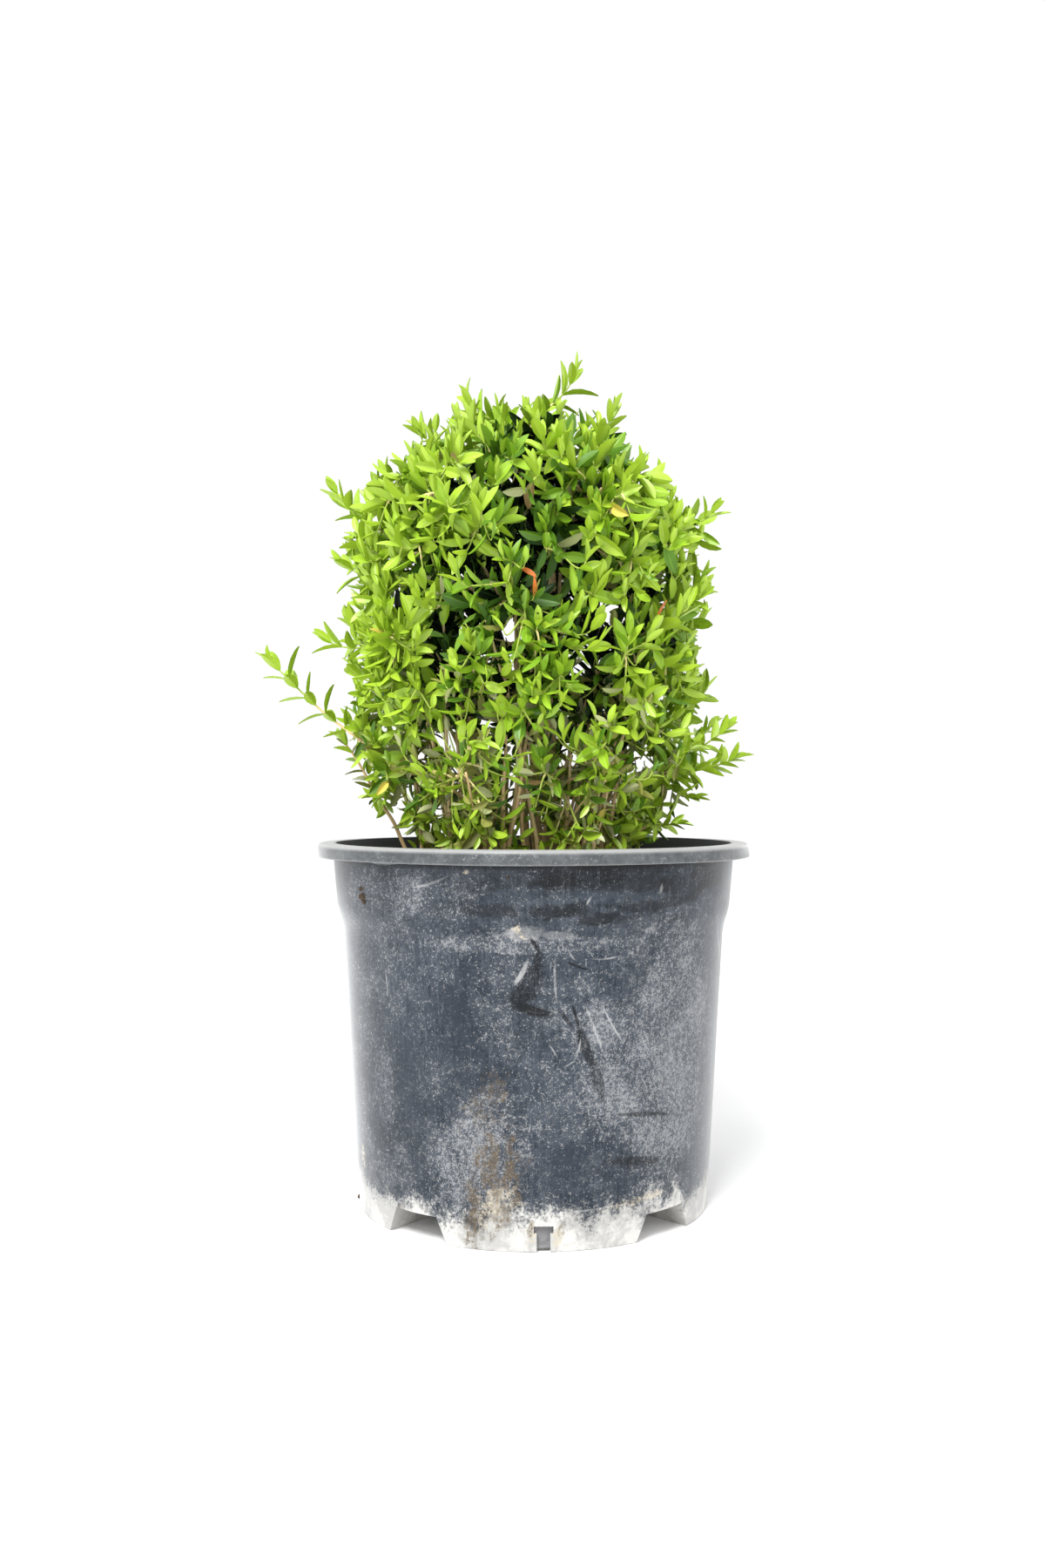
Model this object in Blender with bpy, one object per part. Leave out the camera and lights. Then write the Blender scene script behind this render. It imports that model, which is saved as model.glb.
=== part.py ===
"""A young box shrub, loosely clipped to a dome, in a round plastic nursery pot.

Metres, +Z up. The front is -Y and the origin is the middle of the pot's underside.
An azimuth is in degrees from the front, turning to the right (+X), and a place on the
shrub is (azimuth, distance from the shrub's own axis, height).

The shrub has a trunk and six stems that stand on the soil, boughs that spring from
them, and masses of foliage. Each mass keeps to the part of the crown that lies nearest
to its own middle, so no two masses meet.
"""

import math
import random

import bmesh
import bpy
from mathutils import Matrix, Vector
from mathutils.bvhtree import BVHTree

CLEARANCE = 0.0003  # between two solids that touch in the real plant
SEED = 11

# ---- Pot: a ten litre container
POT_SIDES = 40
SOIL_SIDES = 20
POT_HEIGHT = 0.2320
WALL = 0.0018
RIM_RADIUS = 0.1400
RIM_DROP = 0.0087  # height of the turned-down lip
COLLAR_TOP_RADIUS = 0.1302
SHOULDER_TOP = (0.1268, 0.1900)  # radius and height where the collar starts
SHOULDER_FOOT = (0.1230, 0.1790)
SKIRT_LINE = (0.1140, 0.0202)  # the fine step round the foot of the wall
FOOT_RADIUS = 0.1125
FLOOR_TOP = 0.0180
CHANNEL_TOP = 0.0160  # two air channels cross under the floor and part the feet
CHANNEL_TOP_HALF = 0.0160
CHANNEL_FOOT_HALF = 0.0232
CHANNEL_AZIMUTHS = (-38.2, 44.4)
HUB_RADIUS = 0.0140  # moulding boss in the middle of the underside
SLOT_BAR = (0.0115, 0.0110, 0.0153)  # drain slot: width, foot and top of its bar
SLOT_STEM_WIDTH = 0.0080
SOIL_TOP = 0.2080

# ---- The shrub's outline
CROWN_AXIS = (-0.004, 0.000)
CROWN_RADIUS = 0.117
CROWN_WAIST = 0.400  # height where the crown is widest
CROWN_TOP = 0.522
CROWN_FOOT = 0.228
CROWN_FOOT_RADIUS = 0.074
DOME_POWER = 2.6
TAPER_POWER = 2.5

# ---- Limbs: radius at the foot and at the tip
TRUNK_RADII = (0.0048, 0.0022)
STEM_RADII = (0.0027, 0.0016)
BOUGH_RADII = (0.0017, 0.0012)
ROOT_FLARE = 1.55
FLARE_HEIGHT = 0.012
TRUNK_SIDES = 8
LIMB_SIDES = 6
LIMB_STEPS = 5

# ---- Twigs and leaves. The leaves are larger than life and stand for small sprays
TWIG_SIDES = 3
STEM_SIDES = 5  # of the stem that each mass grows on
TWIG_RADII = (0.0012, 0.0009)
TWIG_STEPS = 2
LEAF_LENGTH = 0.035
LEAF_WIDTH = 0.0180
LEAF_KEEL = 0.0010
LEAF_LIFT = 0.0008  # the edges stand above the midrib
LEAF_ANGLE = 46  # between a leaf and its shoot, in degrees
LEAF_FACES = ((0, 2, 3), (0, 3, 1), (0, 1, 4), (1, 3, 4), (3, 2, 4), (2, 0, 4))
LEAF_MARGIN = 0.0006
LEAVES_APART = 0.010  # between the middles of two leaves
TIP_ROOM = 0.007  # a shoot's tip lies at least this far inside its mass's space
PAIR_STEP = 0.0010  # one leaf of a pair sits this far above the other
TIP_SHARE = 0.68  # how much of a leaf reaches past the end of its shoot
SHOOT_TIPS = 114
PAIRS_AT = (0.55, 0.93)  # where a shoot carries its pairs, as shares of its length

# ---- Places: azimuth, distance from the axis, height
TRUNK_FOOT = (0.012, 0.000)
TRUNK_TIP = Vector((0.012, 0.004, 0.428))

# A stem's foot on the soil (x, y), and the middle of the foliage that it carries
STEMS = {
    "front": ((-0.004, -0.026), (-4, 0.080, 0.366)),
    "front_right": ((0.044, -0.016), (56, 0.082, 0.350)),
    "back_right": ((0.048, 0.018), (120, 0.080, 0.350)),
    "back": ((0.008, 0.034), (180, 0.080, 0.352)),
    "back_left": ((-0.020, 0.020), (238, 0.080, 0.354)),
    "front_left": ((-0.018, -0.016), (300, 0.082, 0.358)),
}

# A low bough: the stem that it springs from, how far up, and the middle of its foliage
LOW_BOUGHS = {
    "front_right": ("front_right", 0.10, (30, 0.074, 0.270)),
    "right": ("back_right", 0.13, (88, 0.080, 0.268)),
    "back_right": ("back", 0.10, (150, 0.072, 0.272)),
    "back_left": ("back_left", 0.13, (212, 0.072, 0.270)),
    "left": ("front_left", 0.12, (272, 0.100, 0.292)),
    "front_left": ("front", 0.12, (330, 0.074, 0.268)),
}

# A high bough: how far up the trunk it springs, and the middle of its foliage
HIGH_BOUGHS = {
    "front_right": (0.52, (32, 0.074, 0.436)),
    "right": (0.60, (104, 0.074, 0.430)),
    "back": (0.46, (176, 0.074, 0.440)),
    "left": (0.66, (248, 0.074, 0.434)),
    "front_left": (0.56, (320, 0.076, 0.440)),
}
TOP_MIDDLE = (0, 0.000, 0.486)

# Shoots that stand out of the crown: the tip (x, y, z)
LONG_SHOOTS = {
    "top": (0.029, -0.010, 0.549),
    "top_left": (-0.045, -0.012, 0.531),
    "top_right": (0.055, -0.006, 0.524),
    "left_high": (-0.137, -0.020, 0.467),
    "left_upper": (-0.134, -0.024, 0.418),
    "left_middle": (-0.142, -0.040, 0.371),
    "left_far": (-0.179, -0.008, 0.353),
    "left_low": (-0.111, -0.014, 0.262),
    "right_high": (0.126, -0.014, 0.458),
    "right_upper": (0.120, -0.030, 0.400),
    "right_low": (0.139, -0.008, 0.290),
    "right_lower": (0.129, -0.030, 0.309),
    "back_high": (0.020, 0.132, 0.450),
    "back_low": (-0.020, 0.128, 0.330),
    "front_high": (-0.030, -0.128, 0.436),
}

COLOURS = {  # base colour, roughness
    "pot_plastic": ((0.085, 0.095, 0.112), 0.62),
    "soil": ((0.040, 0.027, 0.018), 0.95),
    "bark": ((0.300, 0.205, 0.120), 0.80),
    "leaf": ((0.150, 0.330, 0.040), 0.45),
}


# ---------------------------------------------------------------- small helpers


def clear_scene():
    for obj in list(bpy.data.objects):
        bpy.data.objects.remove(obj, do_unlink=True)


def material(name):
    made = bpy.data.materials.get(name)
    if made is None:
        colour, roughness = COLOURS[name]
        made = bpy.data.materials.new(name)
        made.use_nodes = True
        shader = made.node_tree.nodes["Principled BSDF"]
        shader.inputs["Base Color"].default_value = (*colour, 1.0)
        shader.inputs["Roughness"].default_value = roughness
        shader.inputs["Metallic"].default_value = 0.0
    return made


def add_object(name, bm, material_name, collection=None):
    """Turns a bmesh into an object whose faces point outwards."""
    bmesh.ops.recalc_face_normals(bm, faces=bm.faces[:])
    mesh = bpy.data.meshes.new(name)
    bm.to_mesh(mesh)
    bm.free()
    mesh.materials.append(material(material_name))
    obj = bpy.data.objects.new(name, mesh)
    (collection or bpy.context.scene.collection).objects.link(obj)
    return obj


def outwards(azimuth):
    """The level direction at an azimuth."""
    angle = math.radians(azimuth)
    return Vector((math.sin(angle), -math.cos(angle), 0.0))


def crown_place(azimuth, distance, height):
    middle = Vector((CROWN_AXIS[0], CROWN_AXIS[1], height))
    return middle + outwards(azimuth) * distance


def curve(start, bend, end, steps):
    """Points along the quadratic curve that leaves start towards bend and ends at end."""
    points = []
    for i in range(steps + 1):
        t = i / steps
        points.append(start * (1 - t) ** 2 + bend * (2 * t * (1 - t)) + end * t**2)
    return points


def tapered(radii, count):
    return [radii[0] + (radii[1] - radii[0]) * i / (count - 1) for i in range(count)]


def tangents(points):
    """The direction of a line of points at each of them."""
    found = []
    for i in range(len(points)):
        before, after = points[max(i - 1, 0)], points[min(i + 1, len(points) - 1)]
        found.append((after - before).normalized())
    return found


def tube(points, radii, sides, foot_direction=None):
    """A closed tube along the points, with a flat end at each of its two ends."""
    bm = bmesh.new()
    directions = tangents(points)
    if foot_direction:
        directions[0] = foot_direction
    side = directions[0].orthogonal().normalized()
    rings = []
    for point, direction, radius in zip(points, directions, radii):
        side = (side - direction * side.dot(direction)).normalized()
        other = direction.cross(side)
        ring = []
        for k in range(sides):
            turn = 2 * math.pi * k / sides
            arm = side * math.cos(turn) + other * math.sin(turn)
            ring.append(bm.verts.new(point + arm * radius))
        rings.append(ring)
    for low, high in zip(rings, rings[1:]):
        for k in range(sides):
            n = (k + 1) % sides
            bm.faces.new((low[k], low[n], high[n], high[k]))
    bm.faces.new(rings[0][::-1])
    bm.faces.new(rings[-1])
    return bm


def turned(profile, sides):
    """A solid turned round the Z axis from (radius, height) points, first and last on it."""
    bm = bmesh.new()
    line = [bm.verts.new((radius, 0.0, height)) for radius, height in profile]
    edges = [bm.edges.new(pair) for pair in zip(line, line[1:])]
    bmesh.ops.spin(
        bm,
        geom=line + edges,
        cent=(0, 0, 0),
        axis=(0, 0, 1),
        angle=2 * math.pi,
        steps=sides,
        use_merge=True,
    )
    bmesh.ops.remove_doubles(bm, verts=bm.verts[:], dist=1e-5)
    return bm


def prism(outline, height_low, height_high, turn=0.0):
    """An upright prism over (x, y) points, turned about Z by an azimuth."""
    bm = bmesh.new()
    face = bm.faces.new([bm.verts.new((x, y, height_low)) for x, y in outline])
    raised = bmesh.ops.extrude_face_region(bm, geom=[face])
    verts = [v for v in raised["geom"] if isinstance(v, bmesh.types.BMVert)]
    bmesh.ops.translate(bm, verts=verts, vec=(0, 0, height_high - height_low))
    bmesh.ops.rotate(
        bm, verts=bm.verts[:], matrix=Matrix.Rotation(math.radians(turn), 3, "Z")
    )
    return bm


def apply_modifiers(obj):
    """Bakes an object's modifiers into its own mesh."""
    bpy.context.view_layer.update()
    graph = bpy.context.evaluated_depsgraph_get()
    mesh = bpy.data.meshes.new_from_object(obj.evaluated_get(graph))
    obj.modifiers.clear()
    obj.data = mesh


def combine(obj, other, operation):
    """Cuts other from obj or joins it on, then removes other."""
    step = obj.modifiers.new(operation.lower(), "BOOLEAN")
    step.operation = operation
    step.object = other
    apply_modifiers(obj)
    bpy.data.objects.remove(other, do_unlink=True)


# ---------------------------------------------------------------- pot and soil


def channel(azimuth, grown=0.0):
    """The space of one air channel, from wall to wall, with sloping sides."""
    slope = (CHANNEL_FOOT_HALF - CHANNEL_TOP_HALF) / CHANNEL_TOP
    low = -0.002
    foot_half = CHANNEL_FOOT_HALF + grown - slope * low
    top_half = CHANNEL_TOP_HALF + grown - slope * grown
    bm = bmesh.new()
    reach = RIM_RADIUS
    rings = []
    for y in (-reach, reach):
        corners = (
            (-foot_half, low),
            (foot_half, low),
            (top_half, CHANNEL_TOP + grown),
            (-top_half, CHANNEL_TOP + grown),
        )
        rings.append([bm.verts.new((x, y, z)) for x, z in corners])
    bm.faces.new(rings[0])
    bm.faces.new(rings[1][::-1])
    for k in range(4):
        n = (k + 1) % 4
        bm.faces.new((rings[0][k], rings[1][k], rings[1][n], rings[0][n]))
    turn = Matrix.Rotation(math.radians(azimuth), 3, "Z")
    bmesh.ops.rotate(bm, verts=bm.verts[:], matrix=turn)
    return add_object("channel", bm, "pot_plastic")


def wall_radius(height):
    """The pot's outer radius at a height below the lip."""
    places = (
        (0.0, FOOT_RADIUS),
        (SKIRT_LINE[1], SKIRT_LINE[0]),
        (SHOULDER_FOOT[1], SHOULDER_FOOT[0]),
        (SHOULDER_TOP[1], SHOULDER_TOP[0]),
        (POT_HEIGHT, COLLAR_TOP_RADIUS),
    )
    for (low, r_low), (high, r_high) in zip(places, places[1:]):
        if height <= high:
            return r_low + (r_high - r_low) * (height - low) / (high - low)
    return COLLAR_TOP_RADIUS


def inside_of_pot(top, inset, sides):
    """The pot's inner space up to a height, kept clear of its wall by inset."""
    wall = WALL + inset
    heights = [FLOOR_TOP + inset, SHOULDER_FOOT[1], SHOULDER_TOP[1], top]
    profile = [(0.0, heights[0])]
    profile += [(wall_radius(h) - wall, h) for h in heights if h <= top]
    profile.append((0.0, top))
    inner = add_object("inside", turned(profile, sides), "soil")
    foot_floor = WALL + inset
    foot_wall = FOOT_RADIUS - WALL - inset
    overlap = 0.001
    pads = [(0.0, foot_floor), (foot_wall, foot_floor)]
    pads += [(foot_wall, FLOOR_TOP + overlap), (0.0, FLOOR_TOP + overlap)]
    feet = add_object("feet", turned(pads, sides), "soil")
    for azimuth in CHANNEL_AZIMUTHS:
        combine(feet, channel(azimuth, grown=WALL + inset), "DIFFERENCE")
    combine(inner, feet, "UNION")
    return inner


def drain_slot(azimuth):
    """The space of a T-shaped slot through the wall of one foot."""
    width, bar_foot, bar_top = SLOT_BAR
    inner, outer = -(FOOT_RADIUS - 0.006), -(FOOT_RADIUS + 0.004)
    half, stem = width / 2, SLOT_STEM_WIDTH / 2
    bar = prism(
        ((-half, outer), (half, outer), (half, inner), (-half, inner)),
        bar_foot,
        bar_top,
        azimuth,
    )
    slot = add_object("slot", bar, "pot_plastic")
    leg = prism(
        ((-stem, outer), (stem, outer), (stem, inner), (-stem, inner)),
        -0.002,
        bar_foot + 0.001,
        azimuth,
    )
    combine(slot, add_object("slot_leg", leg, "pot_plastic"), "UNION")
    return slot


def make_pot():
    lip_wall = 0.0016
    lip_foot = POT_HEIGHT - RIM_DROP
    flange_under = POT_HEIGHT - 0.0022
    edge = 0.0012  # chamfer on the sharp edges
    profile = [
        (0.0, 0.0),
        (FOOT_RADIUS - edge, 0.0),
        (FOOT_RADIUS, edge),
        (SKIRT_LINE[0] - 0.0006, SKIRT_LINE[1] - 0.0008),
        SKIRT_LINE,
        SHOULDER_FOOT,
        SHOULDER_TOP,
        (COLLAR_TOP_RADIUS, flange_under),
        (RIM_RADIUS - lip_wall - 0.0006, flange_under),
        (RIM_RADIUS - lip_wall, lip_foot),
        (RIM_RADIUS, lip_foot),
        (RIM_RADIUS - 0.0006, POT_HEIGHT - edge),
        (RIM_RADIUS - 0.0006 - edge, POT_HEIGHT),
        (0.0, POT_HEIGHT),
    ]
    pot = add_object("pot", turned(profile, POT_SIDES), "pot_plastic")
    for azimuth in CHANNEL_AZIMUTHS:
        combine(pot, channel(azimuth), "DIFFERENCE")
    hub = turned(
        ((0.0, 0.0), (HUB_RADIUS, 0.0), (HUB_RADIUS, FLOOR_TOP - 0.001), (0.0, FLOOR_TOP - 0.001)),
        POT_SIDES // 2,
    )
    combine(pot, add_object("hub", hub, "pot_plastic"), "UNION")
    combine(pot, inside_of_pot(POT_HEIGHT + 0.001, 0.0, POT_SIDES), "DIFFERENCE")
    front_foot = sum(CHANNEL_AZIMUTHS) / 2
    for quarter in range(4):
        combine(pot, drain_slot(front_foot + 90 * quarter), "DIFFERENCE")
    return pot


def make_soil():
    soil = inside_of_pot(SOIL_TOP, CLEARANCE, SOIL_SIDES)
    soil.name = "soil"
    return soil


# ---------------------------------------------------------------- limbs


class Limb:
    """A tapering limb: its points, and its radius at each."""

    def __init__(self, name, points, radii, sides, stands=False):
        self.name = name
        self.points = points
        self.radii = radii
        self.sides = sides
        self.stands = stands

    def at(self, share):
        """The point, direction and radius at a share of the limb's points."""
        place = share * (len(self.points) - 1)
        i = min(int(place), len(self.points) - 2)
        f = place - i
        point = self.points[i].lerp(self.points[i + 1], f)
        radius = self.radii[i] + (self.radii[i + 1] - self.radii[i]) * f
        return point, (self.points[i + 1] - self.points[i]).normalized(), radius

    def mesh(self):
        foot_direction = Vector((0, 0, 1)) if self.stands else None
        return tube(self.points, self.radii, self.sides, foot_direction)

    def build(self):
        return add_object(self.name, self.mesh(), "bark")


def standing_limb(name, foot, tip, radii, sides, spread):
    """A limb that stands on the soil, rises upright and then leans out to its tip."""
    start = Vector((foot[0], foot[1], SOIL_TOP + CLEARANCE))
    bend = Vector((foot[0], foot[1], start.z)).lerp(Vector((tip.x, tip.y, start.z)), spread)
    bend.z = start.z + 0.55 * (tip.z - start.z)
    points = curve(start, bend, tip, LIMB_STEPS)
    sizes = tapered(radii, len(points))
    points.insert(1, start.lerp(points[1], FLARE_HEIGHT / (points[1] - start).length))
    sizes.insert(1, sizes[0])
    sizes[0] *= ROOT_FLARE
    return Limb(name, points, sizes, sides, stands=True)


def tree_of(bm):
    """A search tree over a mesh that is then no longer needed."""
    tree = BVHTree.FromBMesh(bm)
    bm.free()
    return tree


def side_limb(name, parent, share, tip, radii, rise):
    """A limb that springs from its parent's side, just clear of it, and ends at tip."""
    place, along, parent_radius = parent.at(share)
    side = tip - place
    side -= along * side.dot(along)
    side.normalize()
    angle = math.radians(rise)
    leave = along * math.cos(angle) + side * math.sin(angle)
    surface = tree_of(parent.mesh())
    start = place + side * (parent_radius + radii[0])
    for _ in range(5):
        bend = start + leave * (0.5 * (tip - start).length)
        points = curve(start, bend, tip, LIMB_STEPS - 1)
        limb = Limb(name, points, tapered(radii, len(points)), LIMB_SIDES)
        bm = limb.mesh()
        foot = [vert.co.copy() for vert in bm.verts][:LIMB_SIDES]
        bm.free()
        foot += [(a + b) / 2 for a, b in zip(foot, foot[1:] + foot[:1])]
        gap = min(surface.find_nearest(spot)[3] for spot in foot)
        start = start + side * (CLEARANCE - gap)
    return limb


def limb_tip(middle, inward, drop):
    """Where a limb ends: inside the middle of the foliage that it carries, and below it."""
    azimuth, distance, height = middle
    return crown_place(azimuth, distance - inward, height - drop)


def make_limbs():
    """All limbs by name, and for each mass of foliage its middle and the limb under it."""
    limbs, masses = {}, {}
    trunk = standing_limb("trunk", TRUNK_FOOT, TRUNK_TIP, TRUNK_RADII, TRUNK_SIDES, 0.4)
    limbs["trunk"] = trunk
    masses["foliage_top"] = (crown_place(*TOP_MIDDLE), trunk)
    for side, (foot, middle) in STEMS.items():
        tip = limb_tip(middle, 0.034, 0.040)
        stem = standing_limb(f"stem_{side}", foot, tip, STEM_RADII, LIMB_SIDES, 0.35)
        limbs[stem.name] = stem
        masses[f"foliage_middle_{side}"] = (crown_place(*middle), stem)
    for side, (parent, share, middle) in LOW_BOUGHS.items():
        tip = limb_tip(middle, 0.030, 0.018)
        bough = side_limb(
            f"bough_low_{side}", limbs[f"stem_{parent}"], share, tip, BOUGH_RADII, 42
        )
        limbs[bough.name] = bough
        masses[f"foliage_low_{side}"] = (crown_place(*middle), bough)
    for side, (share, middle) in HIGH_BOUGHS.items():
        tip = limb_tip(middle, 0.034, 0.034)
        bough = side_limb(f"bough_high_{side}", trunk, share, tip, BOUGH_RADII, 38)
        limbs[bough.name] = bough
        masses[f"foliage_high_{side}"] = (crown_place(*middle), bough)
    return limbs, masses


# ---------------------------------------------------------------- the crown's outline


def crown_radius(height):
    """The crown's radius at a height: a dome over a taper to its foot."""
    if height >= CROWN_WAIST:
        rise = min((height - CROWN_WAIST) / (CROWN_TOP - CROWN_WAIST), 1.0)
        return CROWN_RADIUS * math.sqrt(1.0 - rise**DOME_POWER)
    fall = min((CROWN_WAIST - height) / (CROWN_WAIST - CROWN_FOOT), 1.0)
    return CROWN_RADIUS - (CROWN_RADIUS - CROWN_FOOT_RADIUS) * fall**TAPER_POWER


def crown_tips(count, rng):
    """Places spread evenly over the crown's surface by the golden angle, each with the
    direction out of the crown there."""
    steps = 200
    heights = [CROWN_FOOT + (CROWN_TOP - CROWN_FOOT) * i / steps for i in range(steps + 1)]
    area = [0.0]
    for low, high in zip(heights, heights[1:]):
        r_low, r_high = crown_radius(low), crown_radius(high)
        area.append(area[-1] + (r_low + r_high) * math.hypot(high - low, r_high - r_low))
    golden = 180 * (3 - math.sqrt(5))
    tips = []
    for i in range(count):
        wanted = area[-1] * (i + 0.5) / count
        k = next(n for n, a in enumerate(area) if a >= wanted)
        height = heights[k]
        lean = (crown_radius(height + 0.002) - crown_radius(height - 0.002)) / 0.004
        azimuth = golden * i + rng.uniform(-6, 6)
        direction = (outwards(azimuth) - Vector((0, 0, max(lean, -4.0)))).normalized()
        swell = rng.uniform(-0.010, 0.004)
        place = crown_place(azimuth, crown_radius(height), height) + direction * swell
        tips.append((place, direction))
    return tips


# ---------------------------------------------------------------- twigs and leaves


class Space:
    """What a twig or a leaf has to keep clear of: the other masses' parts of the crown,
    every limb, the soil and the pot."""

    def __init__(self, name, masses, limbs):
        self.own = masses[name][0]
        self.others = [middle for other, (middle, _) in masses.items() if other != name]
        self.limbs = list(limbs.values())
        self.taken = []  # the shapes that a new leaf must not cross
        self.leaf_middles = []

    def nearest_border(self, point):
        """How far the point lies inside this mass's own part of the crown."""
        least = 1.0
        for other in self.others:
            way = other - self.own
            length = way.length
            least = min(least, length / 2 - (point - self.own).dot(way) / length)
        return least

    def limb_distance(self, point):
        """The distance from the point to the nearest limb's surface."""
        least = 1.0
        for limb in self.limbs:
            for i in range(len(limb.points) - 1):
                start, end = limb.points[i], limb.points[i + 1]
                way = end - start
                t = min(max((point - start).dot(way) / way.length_squared, 0.0), 1.0)
                radius = limb.radii[i] + (limb.radii[i + 1] - limb.radii[i]) * t
                least = min(least, (point - start - way * t).length - radius)
        return least

    def holds(self, point, radius=0.0):
        """Whether a ball at the point lies clear of everything else."""
        room = radius + LEAF_MARGIN
        if point.z < SOIL_TOP + room + 0.001:
            return False
        if point.z < POT_HEIGHT + room and math.hypot(point.x, point.y) > 0.122 - room:
            return False
        return self.nearest_border(point) > room and self.limb_distance(point) > room


def leaf_points(root, direction, upper, length, width):
    """The five corners of a keeled leaf: root, left, right, tip and keel."""
    side = direction.cross(upper)
    side = (side if side.length > 0.01 else direction.orthogonal()).normalized()
    up = side.cross(direction)
    middle = root + direction * (0.52 * length) + up * LEAF_LIFT
    return [
        root,
        middle - side * (width / 2),
        middle + side * (width / 2),
        root + direction * length - up * LEAF_LIFT,
        root + direction * (0.5 * length) - up * LEAF_KEEL,
    ]


def leaf_mesh(points):
    bm = bmesh.new()
    corners = [bm.verts.new(point) for point in points]
    for face in LEAF_FACES:
        bm.faces.new([corners[k] for k in face])
    return bm


def try_leaf(space, twig, root, direction, along, scale):
    """The leaf's corners, swung round its twig and made smaller until it keeps to the
    space, or nothing where no try does."""
    for size, swing in ((1.0, 0), (1.0, 45), (1.0, -45), (0.8, 0), (0.8, 80), (0.8, -80)):
        way = Matrix.Rotation(math.radians(swing), 3, along) @ direction
        size *= scale
        points = leaf_points(root, way, along, LEAF_LENGTH * size, LEAF_WIDTH * size)
        _, left, right, tip, keel = points
        spots = [left, right, tip, keel, (left + tip) / 2, (right + tip) / 2]
        spots += [(root + left) / 2, (root + right) / 2]
        middle = root.lerp(tip, 0.5)
        if any((middle - other).length < LEAVES_APART for other in space.leaf_middles):
            continue
        if not all(space.holds(spot) for spot in spots):
            continue
        shape = BVHTree.FromPolygons(points, LEAF_FACES)
        if any(other is not twig and shape.overlap(other) for other in space.taken):
            continue
        space.leaf_middles.append(middle)
        space.taken.append(shape)
        return points
    return None


def shoot_path(stem, tip, direction, scale, rng):
    """A shoot springs from the stem below its tip and runs out, to end a leaf short of
    the tip."""
    start, end = stem[0], stem[-1]
    way = end - start
    along = (tip - start).dot(way) / way.length_squared
    aside = (tip - start - way * along).length / way.length
    share = min(max(along - 0.75 * aside, 0.12), 0.92)
    place = share * (len(stem) - 1)
    i = min(int(place), len(stem) - 2)
    root = stem[i].lerp(stem[i + 1], place - i)
    direction = (direction + (tip - root).normalized()).normalized()
    tip = tip - direction * (TIP_SHARE * LEAF_LENGTH * scale)
    reach = (tip - root).length
    wander = Vector([rng.uniform(-1, 1) for _ in range(3)]) * 0.05 * reach
    bend = root.lerp(tip, 0.5) + way.normalized() * 0.06 * reach + wander
    return curve(root, bend, tip, TWIG_STEPS)


def cut_to_space(points, radius, space):
    """As much of a twig as stays in the space, after its sunk root."""
    kept = points[:1]
    for low, high in zip(points, points[1:]):
        parts = 4
        for k in range(1, parts + 1):
            if not space.holds(low.lerp(high, k / parts), radius):
                return kept
        kept.append(high)
    return kept


def shoot_leaves(path, space, twig, rng, scale):
    """Opposite pairs of leaves along a shoot, each pair turned a quarter from the last,
    and one leaf at its tip."""
    line = Limb("line", path, tapered(TWIG_RADII, len(path)), TWIG_SIDES)
    found = []
    angle = math.radians(LEAF_ANGLE)
    turn = rng.uniform(0, math.pi)
    for share in PAIRS_AT:
        place, along, _ = line.at(share)
        side = along.orthogonal().normalized()
        side = Matrix.Rotation(turn, 3, along) @ side
        turn += math.pi / 2
        for way in (1, -1):
            opened = angle * rng.uniform(0.8, 1.2)
            direction = along * math.cos(opened) + side * way * math.sin(opened)
            root = place + along * way * PAIR_STEP
            found.append(try_leaf(space, twig, root, direction, along, scale))
    place, along, _ = line.at(1.0)
    root = place - along * 0.003
    found.append(try_leaf(space, twig, root, along, along, 0.85 * scale))
    return [points for points in found if points]


def main_body(mesh):
    """Leaves only the largest closed body of a mesh: scraps and sealed hollows go."""
    bm = bmesh.new()
    bm.from_mesh(mesh)
    bodies, seen = [], set()
    for face in bm.faces:
        if face in seen:
            continue
        body, todo = [], [face]
        seen.add(face)
        while todo:
            one = todo.pop()
            body.append(one)
            for edge in one.edges:
                for other in edge.link_faces:
                    if other not in seen:
                        seen.add(other)
                        todo.append(other)
        bodies.append(body)
    bodies.sort(key=lambda body: sum(f.calc_area() for f in body), reverse=True)
    loose = [face for body in bodies[1:] for face in body]
    bmesh.ops.delete(bm, geom=loose, context="FACES")
    bm.to_mesh(mesh)
    bm.free()


def fuse(name, meshes):
    """Joins closed shapes that overlap into one body."""
    stem = add_object(name, meshes[0], "leaf")
    pieces = bpy.data.collections.new(name + "_pieces")
    bpy.context.scene.collection.children.link(pieces)
    for i, bm in enumerate(meshes[1:]):
        add_object(f"{name}_piece_{i}", bm, "leaf", pieces)
    join = stem.modifiers.new("join", "BOOLEAN")
    join.operation = "UNION"
    join.operand_type = "COLLECTION"
    join.collection = pieces
    apply_modifiers(stem)
    for obj in list(pieces.objects):
        bpy.data.objects.remove(obj, do_unlink=True)
    bpy.data.collections.remove(pieces)
    main_body(stem.data)
    return stem


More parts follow.
